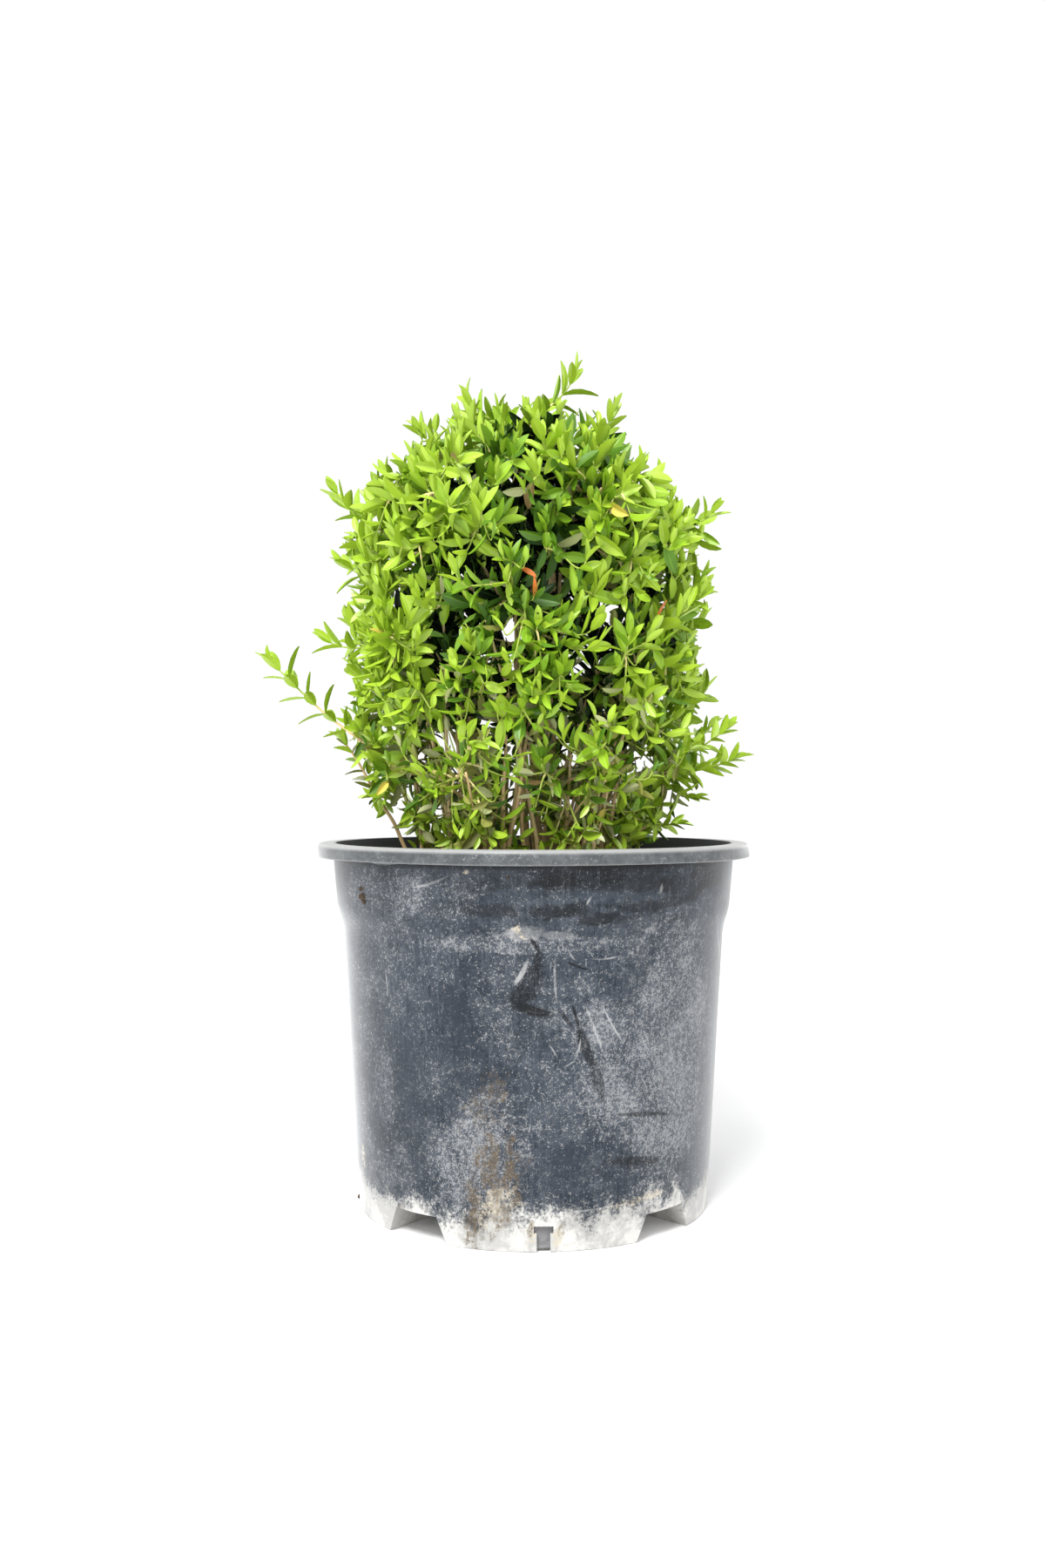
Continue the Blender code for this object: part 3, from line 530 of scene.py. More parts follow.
def makePlastic():
    made, shader = newMaterial("weatheredPlastic", plastic["roughness"])
    setInputs(shader, {
        "Specular IOR Level": plastic["shine"], "Coat Weight": plastic["coat"],
        "Coat Roughness": plastic["coatRoughness"], "Sheen Weight": plastic["dustiness"],
        "Sheen Roughness": plastic["dustWidth"]})
    wiped, dark, faded, chalk = (plastic[key] for key in ("wiped", "dark", "faded", "chalk"))
    place = objectPlace(shader)
    face = useGroup(roundPot, Vector=place)
    around, height, _ = splitParts(face)
    rough = noiseValue(face, 0.16, 5.0, 0.65) - 0.5
    lines = noiseValue(stretched(face, (0.6, 0.06, 1.0), (0.0, 0.0, 0.35)), 1.0, 5.0, 0.8, 1.5)
    lines = remap(lines, 0.38, 0.62)

    def marked(marks):
        return marksMask(face, rough, lines, marks)

    def pattern(name):
        stretch, *limits = patterns[name]
        return patchMask(stretched(place, stretch), *limits)

    def band(name, toHigh=1.0):
        return remap(height, *bands[name], 0.0, toHigh)

    # the clean wall, clouded by dust, with wiped streaks round the collar
    # the haze marks also paint highlights along the wall's left and right edges
    cloudy, hazeAndRimHighlight = pattern("cloudy"), marked(hazeAndRimHighlightMarks)
    hazyAndRimLit = hazeAndRimHighlight * remap(cloudy, 0.0, 1.0, 0.3, 0.85)
    collar = band("collar")
    smears = pattern("smears") * collar * remap(around, -50.0, 0.0, 0.3, 0.75)
    colour = layered(dark, (pattern("broad"), plastic["middle"]), (cloudy * 0.45, faded), (hazyAndRimLit, faded),
                     (smears * 0.33, dark), (smears, wiped))

    # pale specks, dark pits, turned lines and drips
    cover = hazeAndRimHighlight * 0.26 + cloudy * 0.22 + (0.5 - collar * 0.11)
    speck = useGroup(grains, Vector=place, Scale=1150.0, Cover=cover)
    pits = remap(noiseValue(place, 620.0, 4.0, 0.8), 0.5, 0.38, 0.0, 0.55)
    turnedLines = pattern("turned")
    drips = noiseValue(stretched(place, (1.0, 1.0, 0.07)), 620.0, 4.0, 0.75)
    colour = layered(colour, (speck * 0.46, chalk), (pits, wiped), (turnedLines * 0.16, faded),
                     (remap(drips, 0.52, 0.66, 0.0, 0.3), faded),
                     (remap(drips, 0.44, 0.34, 0.0, 0.4), wiped))

    # marks that were rubbed or scratched in
    bare = marked(darkMarks) * remap(speck, 0.2, 0.9, 0.96, 0.8) * remap(collar, 0.0, 1.0, 1.0, 0.7)
    rubbed = marked(paleMarks) * remap(cloudy, 0.0, 0.8, 0.25, 0.65)
    colour = layered(colour, (marked(shadeMarks) * 0.6, dark), (bare, wiped), (rubbed, chalk))

    # lime with a ragged edge round the foot, and the stains on it
    grit = noiseValue(place, 520.0, 3.0, 0.7)
    limeLine = (pattern("edge") - 0.62) * plastic["limeRagged"] + plastic["limeTop"] + (grit - 0.5) * 30.0
    lime = remap(height, limeLine + 8.0, limeLine - 7.0) * remap(cloudy, 0.0, 0.7, 0.62, 0.95)
    # painted shade: the lime is thinner round the far left of the foot, where the lamp from the left makes
    # that edge glare
    lime = lime * remap(around, -112.0, -138.0, 1.0, 0.66)
    worn = pattern("worn")
    cream = marked(creamMarks) * remap(grit + worn * 0.14, 0.48, 0.66, 0.06, 0.8)
    brown = marked(brownMarks) * pattern("clumps") * remap(grit, 0.4, 0.56, 0.25, 0.9)
    # a painted shadow: a dark band on the wall just under the lip, where the lip shades it
    underLipShade = band("underLipShade") * remap(worn, 0.0, 1.0, 0.9, 0.5)
    colour = layered(colour, (lime, plastic["lime"]), (cream, plastic["cream"]), (brown, plastic["brown"]),
                     (marked(mudMarks), plastic["mud"]), (underLipShade, wiped))

    # the lip, paler along its edges
    edges = band("lipTop", 0.6) + band("lipFoot", 0.22)
    lip = layered(plastic["lip"], (worn, plastic["lipWorn"]), (speck * 0.3, chalk), (edges, chalk))
    radius = vectorCalc("LENGTH", vectorCalc("MULTIPLY", place, (1.0, 1.0, 0.0)))
    onLip = band("lip") * remap(radius, 0.1285, 0.131)

    dull = lime * 0.32 + hazyAndRimLit * 0.14 + plastic["roughness"] - bare * 0.1
    crust = noiseValue(place, 900.0, 4.0, 0.7) * (lime * 0.8 + 0.2)
    relief = crust + cloudy * 0.25 + turnedLines * 0.15
    setInputs(shader, {"Base Color": mixColours(onLip, colour, lip), "Normal": bumped(relief, 0.35, 0.0004),
                       "Roughness": calc("ADD", dull, speck * 0.1, clamp=True)})
    return made


potShell = makePot()
potShell.data.materials.append(makePlastic())
potShell.data.materials.append(newMaterial("insidePlastic", 0.5, plastic["inside"])[0])
for face in potShell.data.polygons:
    x, y, z = face.center
    if hypot(x, y) < wallRadius(z) - 0.0006 and z > pot["soilTop"] - 0.01:
        face.material_index = 1
placePiece(potShell, "pot_plastic", "pot")
print("pot made:", len(potShell.data.polygons), "faces")


# soil

soil = {
    "sides": 96, "rings": 44, "top": pot["soilTop"], "hump": 0.003, "lumps": 0.0016, "lumpScale": 75,
    "crumbs": 900, "crumbSize": (0.0009, 0.003), "seed": 5,
    "dark": (0.016, 0.011, 0.008), "brown": (0.06, 0.04, 0.025), "dry": (0.135, 0.1, 0.068),
    "paleBottom": (0.235, 0.233, 0.24),
}
# crumbs that stick to the pot's wall: azimuth, height and size
stuckCrumbs = (
    (-53.4, 0.2022, 0.003), (-52.6, 0.1988, 0.0022), (-53.9, 0.2062, 0.0019), (-52.9, 0.201, 0.0025),
    (-6.2, 0.2165, 0.0011), (-83.0, 0.004, 0.0016), (118.0, 0.197, 0.0022), (-150.0, 0.19, 0.0018),
)


def soilHeight(x, y):
    reach = hypot(x, y) / 0.127
    height = soil["top"] + soil["hump"] * (1 - reach ** 2) - 0.0012
    for octave in (1, 2.7):
        height += soil["lumps"] / octave * noise.noise(Vector((x, y, 0.3)) * soil["lumpScale"] * octave)
    return height


def makeSoil():
    body = insideOfPot(soil["top"] - 0.006, pot["clearance"], 40)
    radius = wallRadius(soil["top"]) - pot["wall"] - pot["clearance"] - 0.0004
    rings = soil["rings"]
    low = soil["top"] - 0.009
    profile = [(0.0, low), (radius, low)]
    profile += [(radius * (1 - ring / rings), soil["top"]) for ring in range(rings + 1)]
    crust = turnedShape("crust", profile, soil["sides"])
    for vert in crust.data.vertices:
        if vert.co.z > low + 0.001:
            vert.co.z = soilHeight(vert.co.x, vert.co.y)
    combine(body, crust, "UNION")
    body.name = "soilBed"
    smoothShading(body, 50)
    return body


def crumbShapes(rng, count):
    shapes = []
    for number in range(count):
        bm = bmesh.new()
        bmesh.ops.create_icosphere(bm, subdivisions=1, radius=1.0)
        stretch = Vector((1.0, rng.uniform(0.45, 0.9), rng.uniform(0.35, 0.8)))
        for vert in bm.verts:
            rough = 1 + 0.45 * noise.noise(vert.co * 1.7 + Vector((number * 9.0, 0, 0)))
            vert.co = vert.co * stretch * rough
        shapes.append(shapeFromBmesh(bm))
    return shapes


def crumb(rng, shapes, place, size, slotIndex=None):
    shape = shapes[rng.randrange(len(shapes))]
    axis = Vector((rng.gauss(0, 1), rng.gauss(0, 1), rng.gauss(0, 1))).normalized()
    axes = np.array(Matrix.Rotation(rng.uniform(0, 2 * pi), 3, axis)) * size
    if slotIndex is None:
        slotIndex = rng.choices((0, 1, 2), (5, 4, 2))[0]
    return shape, axes, place, [slotIndex] * len(shape[1])


def makeCrumbs():
    rng = random.Random(soil["seed"])
    shapes = crumbShapes(rng, 8)
    crumbs = []
    for _ in range(soil["crumbs"]):
        reach, turn = 0.1235 * sqrt(rng.random()), rng.uniform(0, 2 * pi)
        x, y = reach * cos(turn), reach * sin(turn)
        size = blendValue(*soil["crumbSize"], rng.random() ** 2.5)
        crumbs.append(crumb(rng, shapes, (x, y, soilHeight(x, y) + 0.25 * size), size))
    for azimuth, height, size in stuckCrumbs:
        place = outwards(azimuth) * (wallRadius(height) + 0.1 * size) + Vector((0, 0, height))
        crumbs.append(crumb(rng, shapes, place, size, 1))
    finishes = [newMaterial(name, 0.9, soil[key])[0] for name, key in (
        ("crumbDark", "dark"), ("crumbBrown", "brown"), ("crumbDry", "dry"))]
    return joinedCopies("soilCrumbs", crumbs, finishes)


def makeSoilFinish():
    made, shader = newMaterial("pottingMix", 0.92)
    place = objectPlace(shader)
    clods = patchMask(place, 110.0, 0.35, 0.65, 0.7)
    fibres = noiseValue(stretched(place, (1.0, 0.3, 1.0), (0, 0, 0.7)), 900.0, 4.0, 0.7)
    # the bed is paler at the very bottom, in the feet under the pot's floor
    colour = layered(soil["dark"], (clods, soil["brown"]), (remap(fibres, 0.58, 0.72, 0.0, 0.7), soil["dry"]),
                     (remap(splitParts(place)[2], 0.019, 0.016), soil["paleBottom"]))
    relief = noiseValue(place, 420.0, 6.0, 0.7) + clods
    setInputs(shader, {"Base Color": colour, "Normal": bumped(relief, 0.8, 0.0012)})
    return made


soilBed = makeSoil()
soilBed.data.materials.append(makeSoilFinish())
placePiece(soilBed, "soil", "soil")
placePiece(makeCrumbs(), "soil")
print("soil made")


# the limbs' lines, by the same sizes and rule as the solids

crown = {
    "axis": (-0.004, 0.0), "radius": 0.117, "waist": 0.4, "top": 0.522,
    "foot": 0.228, "footRadius": 0.074, "domePower": 2.6, "taperPower": 2.5,
}
limb = {
    "trunkRadii": (0.0048, 0.0022), "stemRadii": (0.0027, 0.0016), "boughRadii": (0.0017, 0.0012),
    "flare": 0.55, "flareHeight": 0.012, "trunkFoot": (0.012, 0.0),
    "trunkTip": (0.012, 0.004, 0.428), "sunk": 0.006, "wander": 0.0022,
    "knotEvery": 0.0115, "knotSwell": 0.09, "ringEvery": 0.0013, "furrow": 0.15,
}
# a stem's foot on the soil, and the middle of its foliage as azimuth, distance and height
stems = {
    "front": ((-0.004, -0.026), (-4, 0.08, 0.366)),
    "front_right": ((0.044, -0.016), (56, 0.082, 0.35)),
    "back_right": ((0.048, 0.018), (120, 0.08, 0.35)),
    "back": ((0.008, 0.034), (180, 0.08, 0.352)),
    "back_left": ((-0.02, 0.02), (238, 0.08, 0.354)),
    "front_left": ((-0.018, -0.016), (300, 0.082, 0.358)),
}
lowBoughs = {  # parent stem, how far up it, middle of its foliage
    "front_right": ("front_right", 0.1, (30, 0.074, 0.27)),
    "right": ("back_right", 0.13, (88, 0.08, 0.268)),
    "back_right": ("back", 0.1, (150, 0.072, 0.272)),
    "back_left": ("back_left", 0.13, (212, 0.072, 0.27)),
    "left": ("front_left", 0.12, (272, 0.1, 0.292)),
    "front_left": ("front", 0.12, (330, 0.074, 0.268)),
}
highBoughs = {  # how far up the trunk, middle of its foliage
    "front_right": (0.52, (32, 0.074, 0.436)),
    "right": (0.6, (104, 0.074, 0.43)),
    "back": (0.46, (176, 0.074, 0.44)),
    "left": (0.66, (248, 0.074, 0.434)),
    "front_left": (0.56, (320, 0.076, 0.44)),
}
topMiddle = (0, 0.0, 0.486)


def crownPlace(azimuth, distance, height):
    return Vector((*crown["axis"], height)) + outwards(azimuth) * distance


def curve(start, bend, end, steps):
    points = []
    for step in range(steps + 1):
        t = step / steps
        points.append(start * (1 - t) ** 2 + bend * (2 * t * (1 - t)) + end * t ** 2)
    return points


def strayVector(point):
    return Vector([noise.noise(point + Vector((7.3 * axis, 2.1, 5.7 * axis))) for axis in range(3)])


def wandering(points, amount, seed):
    # a grown line is never quite smooth; its ends stay where they are
    moved = []
    for step, point in enumerate(points):
        hold = sin(pi * step / (len(points) - 1)) ** 0.6 if 0 < step < len(points) - 1 else 0
        stray = strayVector(point * 26 + Vector((seed * 3.7, 0, seed)))
        stray += 0.4 * strayVector(point * 70 + Vector((0, seed * 5.1, 0)))
        moved.append(point + stray * amount * hold)
    return moved


def lengthsAlong(points):
    lengths = [0.0]
    for low, high in zip(points, points[1:]):
        lengths.append(lengths[-1] + (high - low).length)
    return lengths


def taper(points, radii):
    lengths = lengthsAlong(points)
    return [blendValue(*radii, length / lengths[-1]) for length in lengths]


def standingLimb(foot, tip, radii, spread, seed):
    start = Vector((*foot, soil["top"]))
    bend = start.lerp(Vector((tip.x, tip.y, start.z)), spread)
    bend.z = start.z + 0.55 * (tip.z - start.z)
    points = wandering(curve(start, bend, tip, 40), limb["wander"], seed)
    sizes = taper(points, radii)
    points.insert(0, start - Vector((0, 0, limb["sunk"])))
    sizes.insert(0, sizes[0])
    return points, sizes


def sideLimb(parent, share, tip, radii, rise, seed):
    points, sizes = parent
    place = points[round(share * (len(points) - 1))]
    step = points.index(place)
    along = (points[min(step + 2, len(points) - 1)] - points[max(step - 2, 0)]).normalized()
    side = tip - place
    side = (side - along * side.dot(along)).normalized()
    angle = radians(rise)
    leave = along * cos(angle) + side * sin(angle)
    bend = place + leave * (0.5 * (tip - place).length)
    line = wandering(curve(place, bend, tip, 32), limb["wander"] * 0.8, seed)
    sizes = taper(line, radii)
    for step, length in enumerate(lengthsAlong(line)):  # thicker where it leaves its parent
        sizes[step] *= 1 + 0.4 * max(1 - length / 0.009, 0.0)
    return line, sizes


def makeLimbLines():
    lines = {"trunk": standingLimb(limb["trunkFoot"], Vector(limb["trunkTip"]), limb["trunkRadii"], 0.4, 1)}
    masses = {"top": (crownPlace(*topMiddle), "trunk")}

    def limbTip(mass, middle, name, inward, drop):
        # the limb ends short of the middle of the mass that it carries
        azimuth, distance, height = middle
        masses[mass] = (crownPlace(*middle), name)
        return crownPlace(azimuth, distance - inward, height - drop)

    for seed, (side, (foot, middle)) in enumerate(stems.items()):
        name = f"stem_{side}"
        tip = limbTip(f"middle_{side}", middle, name, 0.034, 0.04)
        lines[name] = standingLimb(foot, tip, limb["stemRadii"], 0.35, seed + 2)
    for seed, (side, (parent, share, middle)) in enumerate(lowBoughs.items()):
        name = f"bough_low_{side}"
        tip = limbTip(f"low_{side}", middle, name, 0.03, 0.018)
        lines[name] = sideLimb(lines[f"stem_{parent}"], share, tip, limb["boughRadii"], 42, seed + 9)
    for seed, (side, (share, middle)) in enumerate(highBoughs.items()):
        name = f"bough_high_{side}"
        tip = limbTip(f"high_{side}", middle, name, 0.034, 0.034)
        lines[name] = sideLimb(lines["trunk"], share, tip, limb["boughRadii"], 38, seed + 17)
    return lines, masses


# bark

bark = {
    "tan": (0.74, 0.55, 0.26), "brown": (0.48, 0.33, 0.14), "grey": (0.58, 0.48, 0.27),
    "green": (0.32, 0.32, 0.11), "crack": (0.11, 0.07, 0.032), "roughness": 0.8,
}


def framesAlong(points):
    frames, side = [], None
    for step in range(len(points)):
        before, after = points[max(step - 1, 0)], points[min(step + 1, len(points) - 1)]
        along = (after - before).normalized()
        side = along.orthogonal() if side is None else side - along * side.dot(along)
        side.normalize()
        frames.append((along, side.copy(), along.cross(side)))
    return frames


def resampled(points, values, count):
    lengths = lengthsAlong(points)
    found, step = [], 0
    for number in range(count + 1):
        wanted = lengths[-1] * number / count
        while step < len(points) - 2 and lengths[step + 1] < wanted:
            step += 1
        share = (wanted - lengths[step]) / max(lengths[step + 1] - lengths[step], 1e-9)
        found.append((points[step].lerp(points[step + 1], min(share, 1.0)),
                      blendValue(values[step], values[step + 1], share), wanted))
    return found


def barkedLimb(name, line, sides, flared, seed):
    points, sizes = line
    rings = max(int(lengthsAlong(points)[-1] / limb["ringEvery"]), 12)
    stations = resampled(points, sizes, rings)
    frames = framesAlong([station[0] for station in stations])
    bm = bmesh.new()
    bmesh.ops.create_grid(bm, x_segments=sides, y_segments=rings, size=0.5)
    for vert in bm.verts:  # the flat grid is rolled up round the limb's line
        turn = (vert.co.x + 0.5) * 2 * pi
        step = round((vert.co.y + 0.5) * rings)
        middle, radius, length = stations[step]
        _, side, other = frames[step]
        arm = side * cos(turn) + other * sin(turn)
        knot = abs((length / limb["knotEvery"] + 0.15 * sin(seed + length * 90)) % 1 - 0.5)
        radius *= 1 + limb["knotSwell"] * max(1 - knot / 0.16, 0.0) ** 2
        if flared:
            low = max(1 - (length - limb["sunk"]) / limb["flareHeight"], 0.0)
            radius *= 1 + limb["flare"] * min(low, 1.3) ** 2 * (1 + 0.25 * cos(turn * 3 + seed))
        spot = Vector((cos(turn) * 1.5, sin(turn) * 1.5, length * 55 + seed * 7))
        fine = Vector((cos(turn) * 4, sin(turn) * 4, length * 150 + seed * 3))
        rough = noise.noise(spot) + 0.55 * noise.noise(fine)
        vert.co = middle + arm * radius * (1 + limb["furrow"] * rough)
    bmesh.ops.remove_doubles(bm, verts=bm.verts[:], dist=1e-6)
    bmesh.ops.holes_fill(bm, edges=[edge for edge in bm.edges if edge.is_boundary], sides=0)
    bmesh.ops.recalc_face_normals(bm, faces=bm.faces[:])
    piece = objectFromBmesh(name, bm)
    smoothShading(piece, 60)
    return piece


def makeBark():
    made, shader = newMaterial("youngBark", bark["roughness"])
    place = objectPlace(shader)
    streaks = noiseValue(stretched(place, (1.0, 1.0, 0.16)), 900.0, 5.0, 0.65)
    blotches = patchMask(stretched(place, (1.0, 1.0, 0.5)), 150.0, 0.4, 0.62)
    mossy, cracks = patchMask(place, 70.0, 0.5, 0.7), remap(streaks, 0.4, 0.3)
    colour = layered(bark["brown"], (remap(streaks, 0.35, 0.62), bark["tan"]),
                     (blotches * 0.55, bark["grey"]), (mossy * 0.35, bark["green"]),
                     (cracks * 0.8, bark["crack"]))
    setInputs(shader, {"Base Color": colour, "Normal": bumped(streaks, 0.7, 0.0005)})
    return made


lines, masses = makeLimbLines()
youngBark = makeBark()
for seed, (name, line) in enumerate(lines.items()):
    sides = 20 if name == "trunk" else 14
    piece = barkedLimb(f"bark_{name}", line, sides, not name.startswith("bough"), seed)
    piece.data.materials.append(youngBark)
    placePiece(piece, "bark", name)
print("limbs made:", len(lines))


# foliage

growth = {
    "seed": 11, "sourceTips": 114, "sprigSeed": 23, "leafy": (0.055, 0.095), "tipClear": 0.012,
    "upward": 1.5, "longUpward": 0.35, "longSize": 0.72, "longLight": 0.92, "shoulder": 0.545,
    "twigRadii": (0.0011, 0.00048), "sprigRadii": (0.00075, 0.00038), "stemEnd": 0.0009,
    "stemReach": 1.35, "leafLength": 0.02, "shootLeaf": 1.04, "sprigLeaf": (0.82, 1.04),
}
sprigKinds = (  # how many, first azimuth, how far off the crown's surface, lowest and highest
    (580, 68.0, (-0.016, 0.006), 0.0, 1.0), (520, 21.0, (-0.066, -0.018), 0.245, 1.0),
    (500, 47.0, (-0.034, 0.01), 0.0, 0.35),
)
whip = {  # a thin young stem from the soil up into a mass
    "count": 5, "radii": (0.00165, 0.00075), "sunk": 0.004, "spread": (0.25, 0.8), "footStray": 0.014,
    "tipStray": 0.026, "bend": (0.35, 0.35, 0.55), "wander": 0.0024, "leafy": 0.45, "leaf": 0.9,
}
# lengths in metres and angles in degrees; old, low and foot say where a leaf sits on its twig
# and in the crown
leaf = {
    "width": 0.38, "spacing": (0.0062, 0.0084), "angles": (15, 50), "openAfter": 0.012, "lowAngle": 14,
    "oldFrom": 0.034, "oldOver": 0.05, "lowBelow": 0.345, "lowOver": 0.07,
    "footBelow": 0.262, "footOver": 0.03, "gap": 0.05, "oldGap": 0.28, "lowGap": 0.27,
    "lift": 0.24, "lowDrop": 0.14, "tipSize": 0.64, "oldLoss": 0.25, "lowLoss": 0.2,
}
shading = {
    "shell": 0.005, "fade": 0.027, "frontTurn": 0.6, "frontHeight": 0.41, "frontHalf": 0.1,
    "frontDark": 0.56, "lowHeight": 0.25, "lowFade": 0.12, "lowLight": 0.94, "byLight": 7.6,
    "start": 0.35, "ageing": 84, "ageingLong": 36, "stray": 0.7, "greyedOld": 0.8, "greyedNew": 0.4,
    "leftSunlit": 1.2, "leftSide": (0.02, 0.06), "rightNewer": 1.3, "rightSide": (0.03, 0.05),
    "lowOlder": 0.8, "lowLeast": 2.2, "footPaintedLight": 3.0,
}
# tips of the long shoots, in millimetres
longShoots = (
    (29, -10, 544), (-45, -12, 527), (55, -6, 520), (-131, -20, 463), (-127, -24, 415),
    (-134, -40, 362), (-175, -8, 353), (-111, -14, 262), (121, -14, 451), (113, -30, 400),
    (139, -8, 290), (129, -30, 309), (112, -12, 262), (98, -40, 246), (-78, -10, 506),
    (116, -24, 283), (106, -44, 298), (122, 6, 312), (108, 20, 276), (88, -30, 258),
    (-108, -30, 300), (20, 132, 450), (-20, 128, 330), (-30, -118, 436), (4, -116, 364),
    (3, -94, 486), (-86, -78, 424),
)
eye = Vector((0.0, -0.9161, 0.2644))
# where the sky shows between the twigs, on the upright plane of the axis: middle across and up,
# and half size across and up, in millimetres
skyGaps = (
    (-14, 369, 7.5, 12), (-12, 348, 6, 10), (-47, 379, 4.5, 5), (-47, 403, 3, 3.5),
    (-30, 354, 4.5, 5), (43, 352, 3.5, 6), (65, 349, 3.5, 8), (-54, 297, 8.5, 10),
    (-46, 274, 9, 11), (-58, 252, 8, 7), (-73, 287, 5, 5), (24, 287, 7.5, 8.5), (24, 254, 6, 10),
    (72, 287, 6, 8), (3, 246, 5, 6), (52, 262, 5.5, 7), (90, 262, 5, 6), (-85, 262, 5, 6),
    (46, 318, 4, 5), (-18, 262, 5, 6), (71, 320, 4, 5),
)
leafShine = {"leafDeepShade": 0.1, "leafOldShaded": 0.2, "leafShaded": 0.32}
leafColours = {  # from the old leaves inside, whose darkest colours are painted shade deep in the crown, to the new ones at the tips
    "leafDeepShade": (0.003, 0.008, 0.002), "leafOldShaded": (0.014, 0.04, 0.006),
    "leafShaded": (0.044, 0.11, 0.01), "leafMiddle": (0.09, 0.208, 0.012),
    "leafFresh": (0.175, 0.34, 0.016), "leafNew": (0.272, 0.452, 0.022),
    "leafTip": (0.34, 0.51, 0.031), "leafEdge": (0.425, 0.575, 0.078),
    "leafOlive": (0.265, 0.28, 0.062), "leafGrey": (0.37, 0.4, 0.175),
    "leafOrange": (0.5, 0.135, 0.016), "leafYellow": (0.64, 0.53, 0.1),
    "leafDry": (0.32, 0.215, 0.09),
}
oliveIndex, greyIndex = 8, 9
orangeIndex, yellowIndex, dryIndex = 10, 11, 12
# the few leaves that have changed colour: place on the plane of the axis, and colour
turnedLeaves = (
    ((-0.005, 0.406), orangeIndex), ((-0.0036, 0.397), orangeIndex), ((0.0846, 0.3903), orangeIndex),
    ((0.057, 0.454), yellowIndex), ((-0.104, 0.3665), yellowIndex), ((0.048, 0.2518), yellowIndex),
    ((-0.1, 0.269), yellowIndex), ((-0.049, 0.4845), dryIndex), ((-0.0046, 0.4636), dryIndex),
    ((-0.0033, 0.2704), dryIndex),
)
twigColours = {"twigBrown": (0.64, 0.45, 0.22), "twigTan": (0.8, 0.61, 0.31),
               "twigStraw": (0.7, 0.6, 0.26), "twigGreen": (0.36, 0.46, 0.07)}


def crownRadius(height):
    if height >= crown["waist"]:
        rise = min((height - crown["waist"]) / (crown["top"] - crown["waist"]), 1.0)
        return crown["radius"] * sqrt(1.0 - rise ** crown["domePower"])
    fall = min((crown["waist"] - height) / (crown["waist"] - crown["foot"]), 1.0)
    return crown["radius"] - (crown["radius"] - crown["footRadius"]) * fall ** crown["taperPower"]


def crownTips(count, rng, first, swell):
    # spread evenly over the crown's surface by the golden angle
    steps = 200
    heights = [blendValue(crown["foot"], crown["top"], step / steps) for step in range(steps + 1)]
    area = [0.0]
    for low, high in zip(heights, heights[1:]):
        lowRadius, highRadius = crownRadius(low), crownRadius(high)
        area.append(area[-1] + (lowRadius + highRadius)
                    * hypot(high - low, highRadius - lowRadius))
    golden = 180 * (3 - sqrt(5))
    tips = []
    for number in range(count):
        wanted = area[-1] * (number + 0.5) / count
        height = heights[next(step for step, value in enumerate(area) if value >= wanted)]
        lean = (crownRadius(height + 0.002) - crownRadius(height - 0.002)) / 0.004
        azimuth = first + golden * number + rng.uniform(-6, 6)
        way = (outwards(azimuth) - Vector((0, 0, max(lean, -4.0)))).normalized()
        place = crownPlace(azimuth, crownRadius(height), height) + way * rng.uniform(*swell)
        tips.append((place, way))
    return tips


def onAxisPlane(point):
    # where the eye sees the point on the upright plane through the axis
    share = -eye.y / (point.y - eye.y)
    return Vector((eye.x + (point.x - eye.x) * share, eye.z + (point.z - eye.z) * share))


def inSkyGap(point):
    x, z = onAxisPlane(point)
    return any(((x - gapX / 1000) / (halfX / 1000)) ** 2 + ((z - gapZ / 1000) / (halfZ / 1000)) ** 2 < 1
               for gapX, gapZ, halfX, halfZ in skyGaps)


def leafInSight(grown, spot):
    # the leaf nearest the eye of those that cover the spot
    found = []
    for name, (_, leaves) in grown.items():
        for index, (place, direction, _, length, *_) in enumerate(leaves):
            middle = place + direction * length * 0.5
            aside = max((onAxisPlane(middle) - spot).length - 0.005, 0.0)
            found.append((20 * aside + (middle - eye).length, name, index))
    return min(found)[1:]


def shootPath(stem, tip, way, clear, upward, rng, steps=9):
    # springs from the stem below its tip, runs out and turns up towards the light
    start, end = stem[0], stem[-1]
    run = end - start
    along = (tip - start).dot(run) / run.length_squared
    aside = (tip - start - run * along).length / run.length
    share = min(max(along - 0.75 * aside, 0.12), 0.92)
    place = share * (len(stem) - 1)
    step = min(int(place), len(stem) - 2)
    root = stem[step].lerp(stem[step + 1], place - step)
    way = (way * 0.45 + (tip - root).normalized() * 0.4 + Vector((0, 0, upward))).normalized()
    tip = tip - way * clear
    reach = (tip - root).length
    wander = Vector([rng.uniform(-1, 1) for _ in range(3)]) * 0.07 * reach
    near = root.lerp(tip, 0.33) + run.normalized() * 0.06 * reach + wander
    far = tip - way * 0.42 * reach + wander * 0.4
    points = []
    for number in range(steps + 1):
        t = number / steps
        points.append(root * (1 - t) ** 3 + near * 3 * t * (1 - t) ** 2
                      + far * 3 * t ** 2 * (1 - t) + tip * t ** 3)
    return points


def exposure(point):
    # 1 on the crown's surface and high up, less inside, low down and in the middle of the front
    # the leaves' colours take it as painted shade
    x, y = point.x - crown["axis"][0], point.y - crown["axis"][1]
    height = min(point.z, crown["top"] - 0.002)
    depth = min(crownRadius(max(height, crown["foot"])) - hypot(x, y), crown["top"] - point.z)
    inner = 1 - ramp(depth, shading["shell"], shading["fade"])
    front = max(1 - abs(atan2(x, -y)) / shading["frontTurn"], 0.0)
    front *= max(1 - abs(point.z - shading["frontHeight"]) / shading["frontHalf"], 0.0)
    high = (point.z - shading["lowHeight"]) / shading["lowFade"]
    return inner * (1 - shading["frontDark"] * front) * blendValue(shading["lowLight"], 1.0, high)


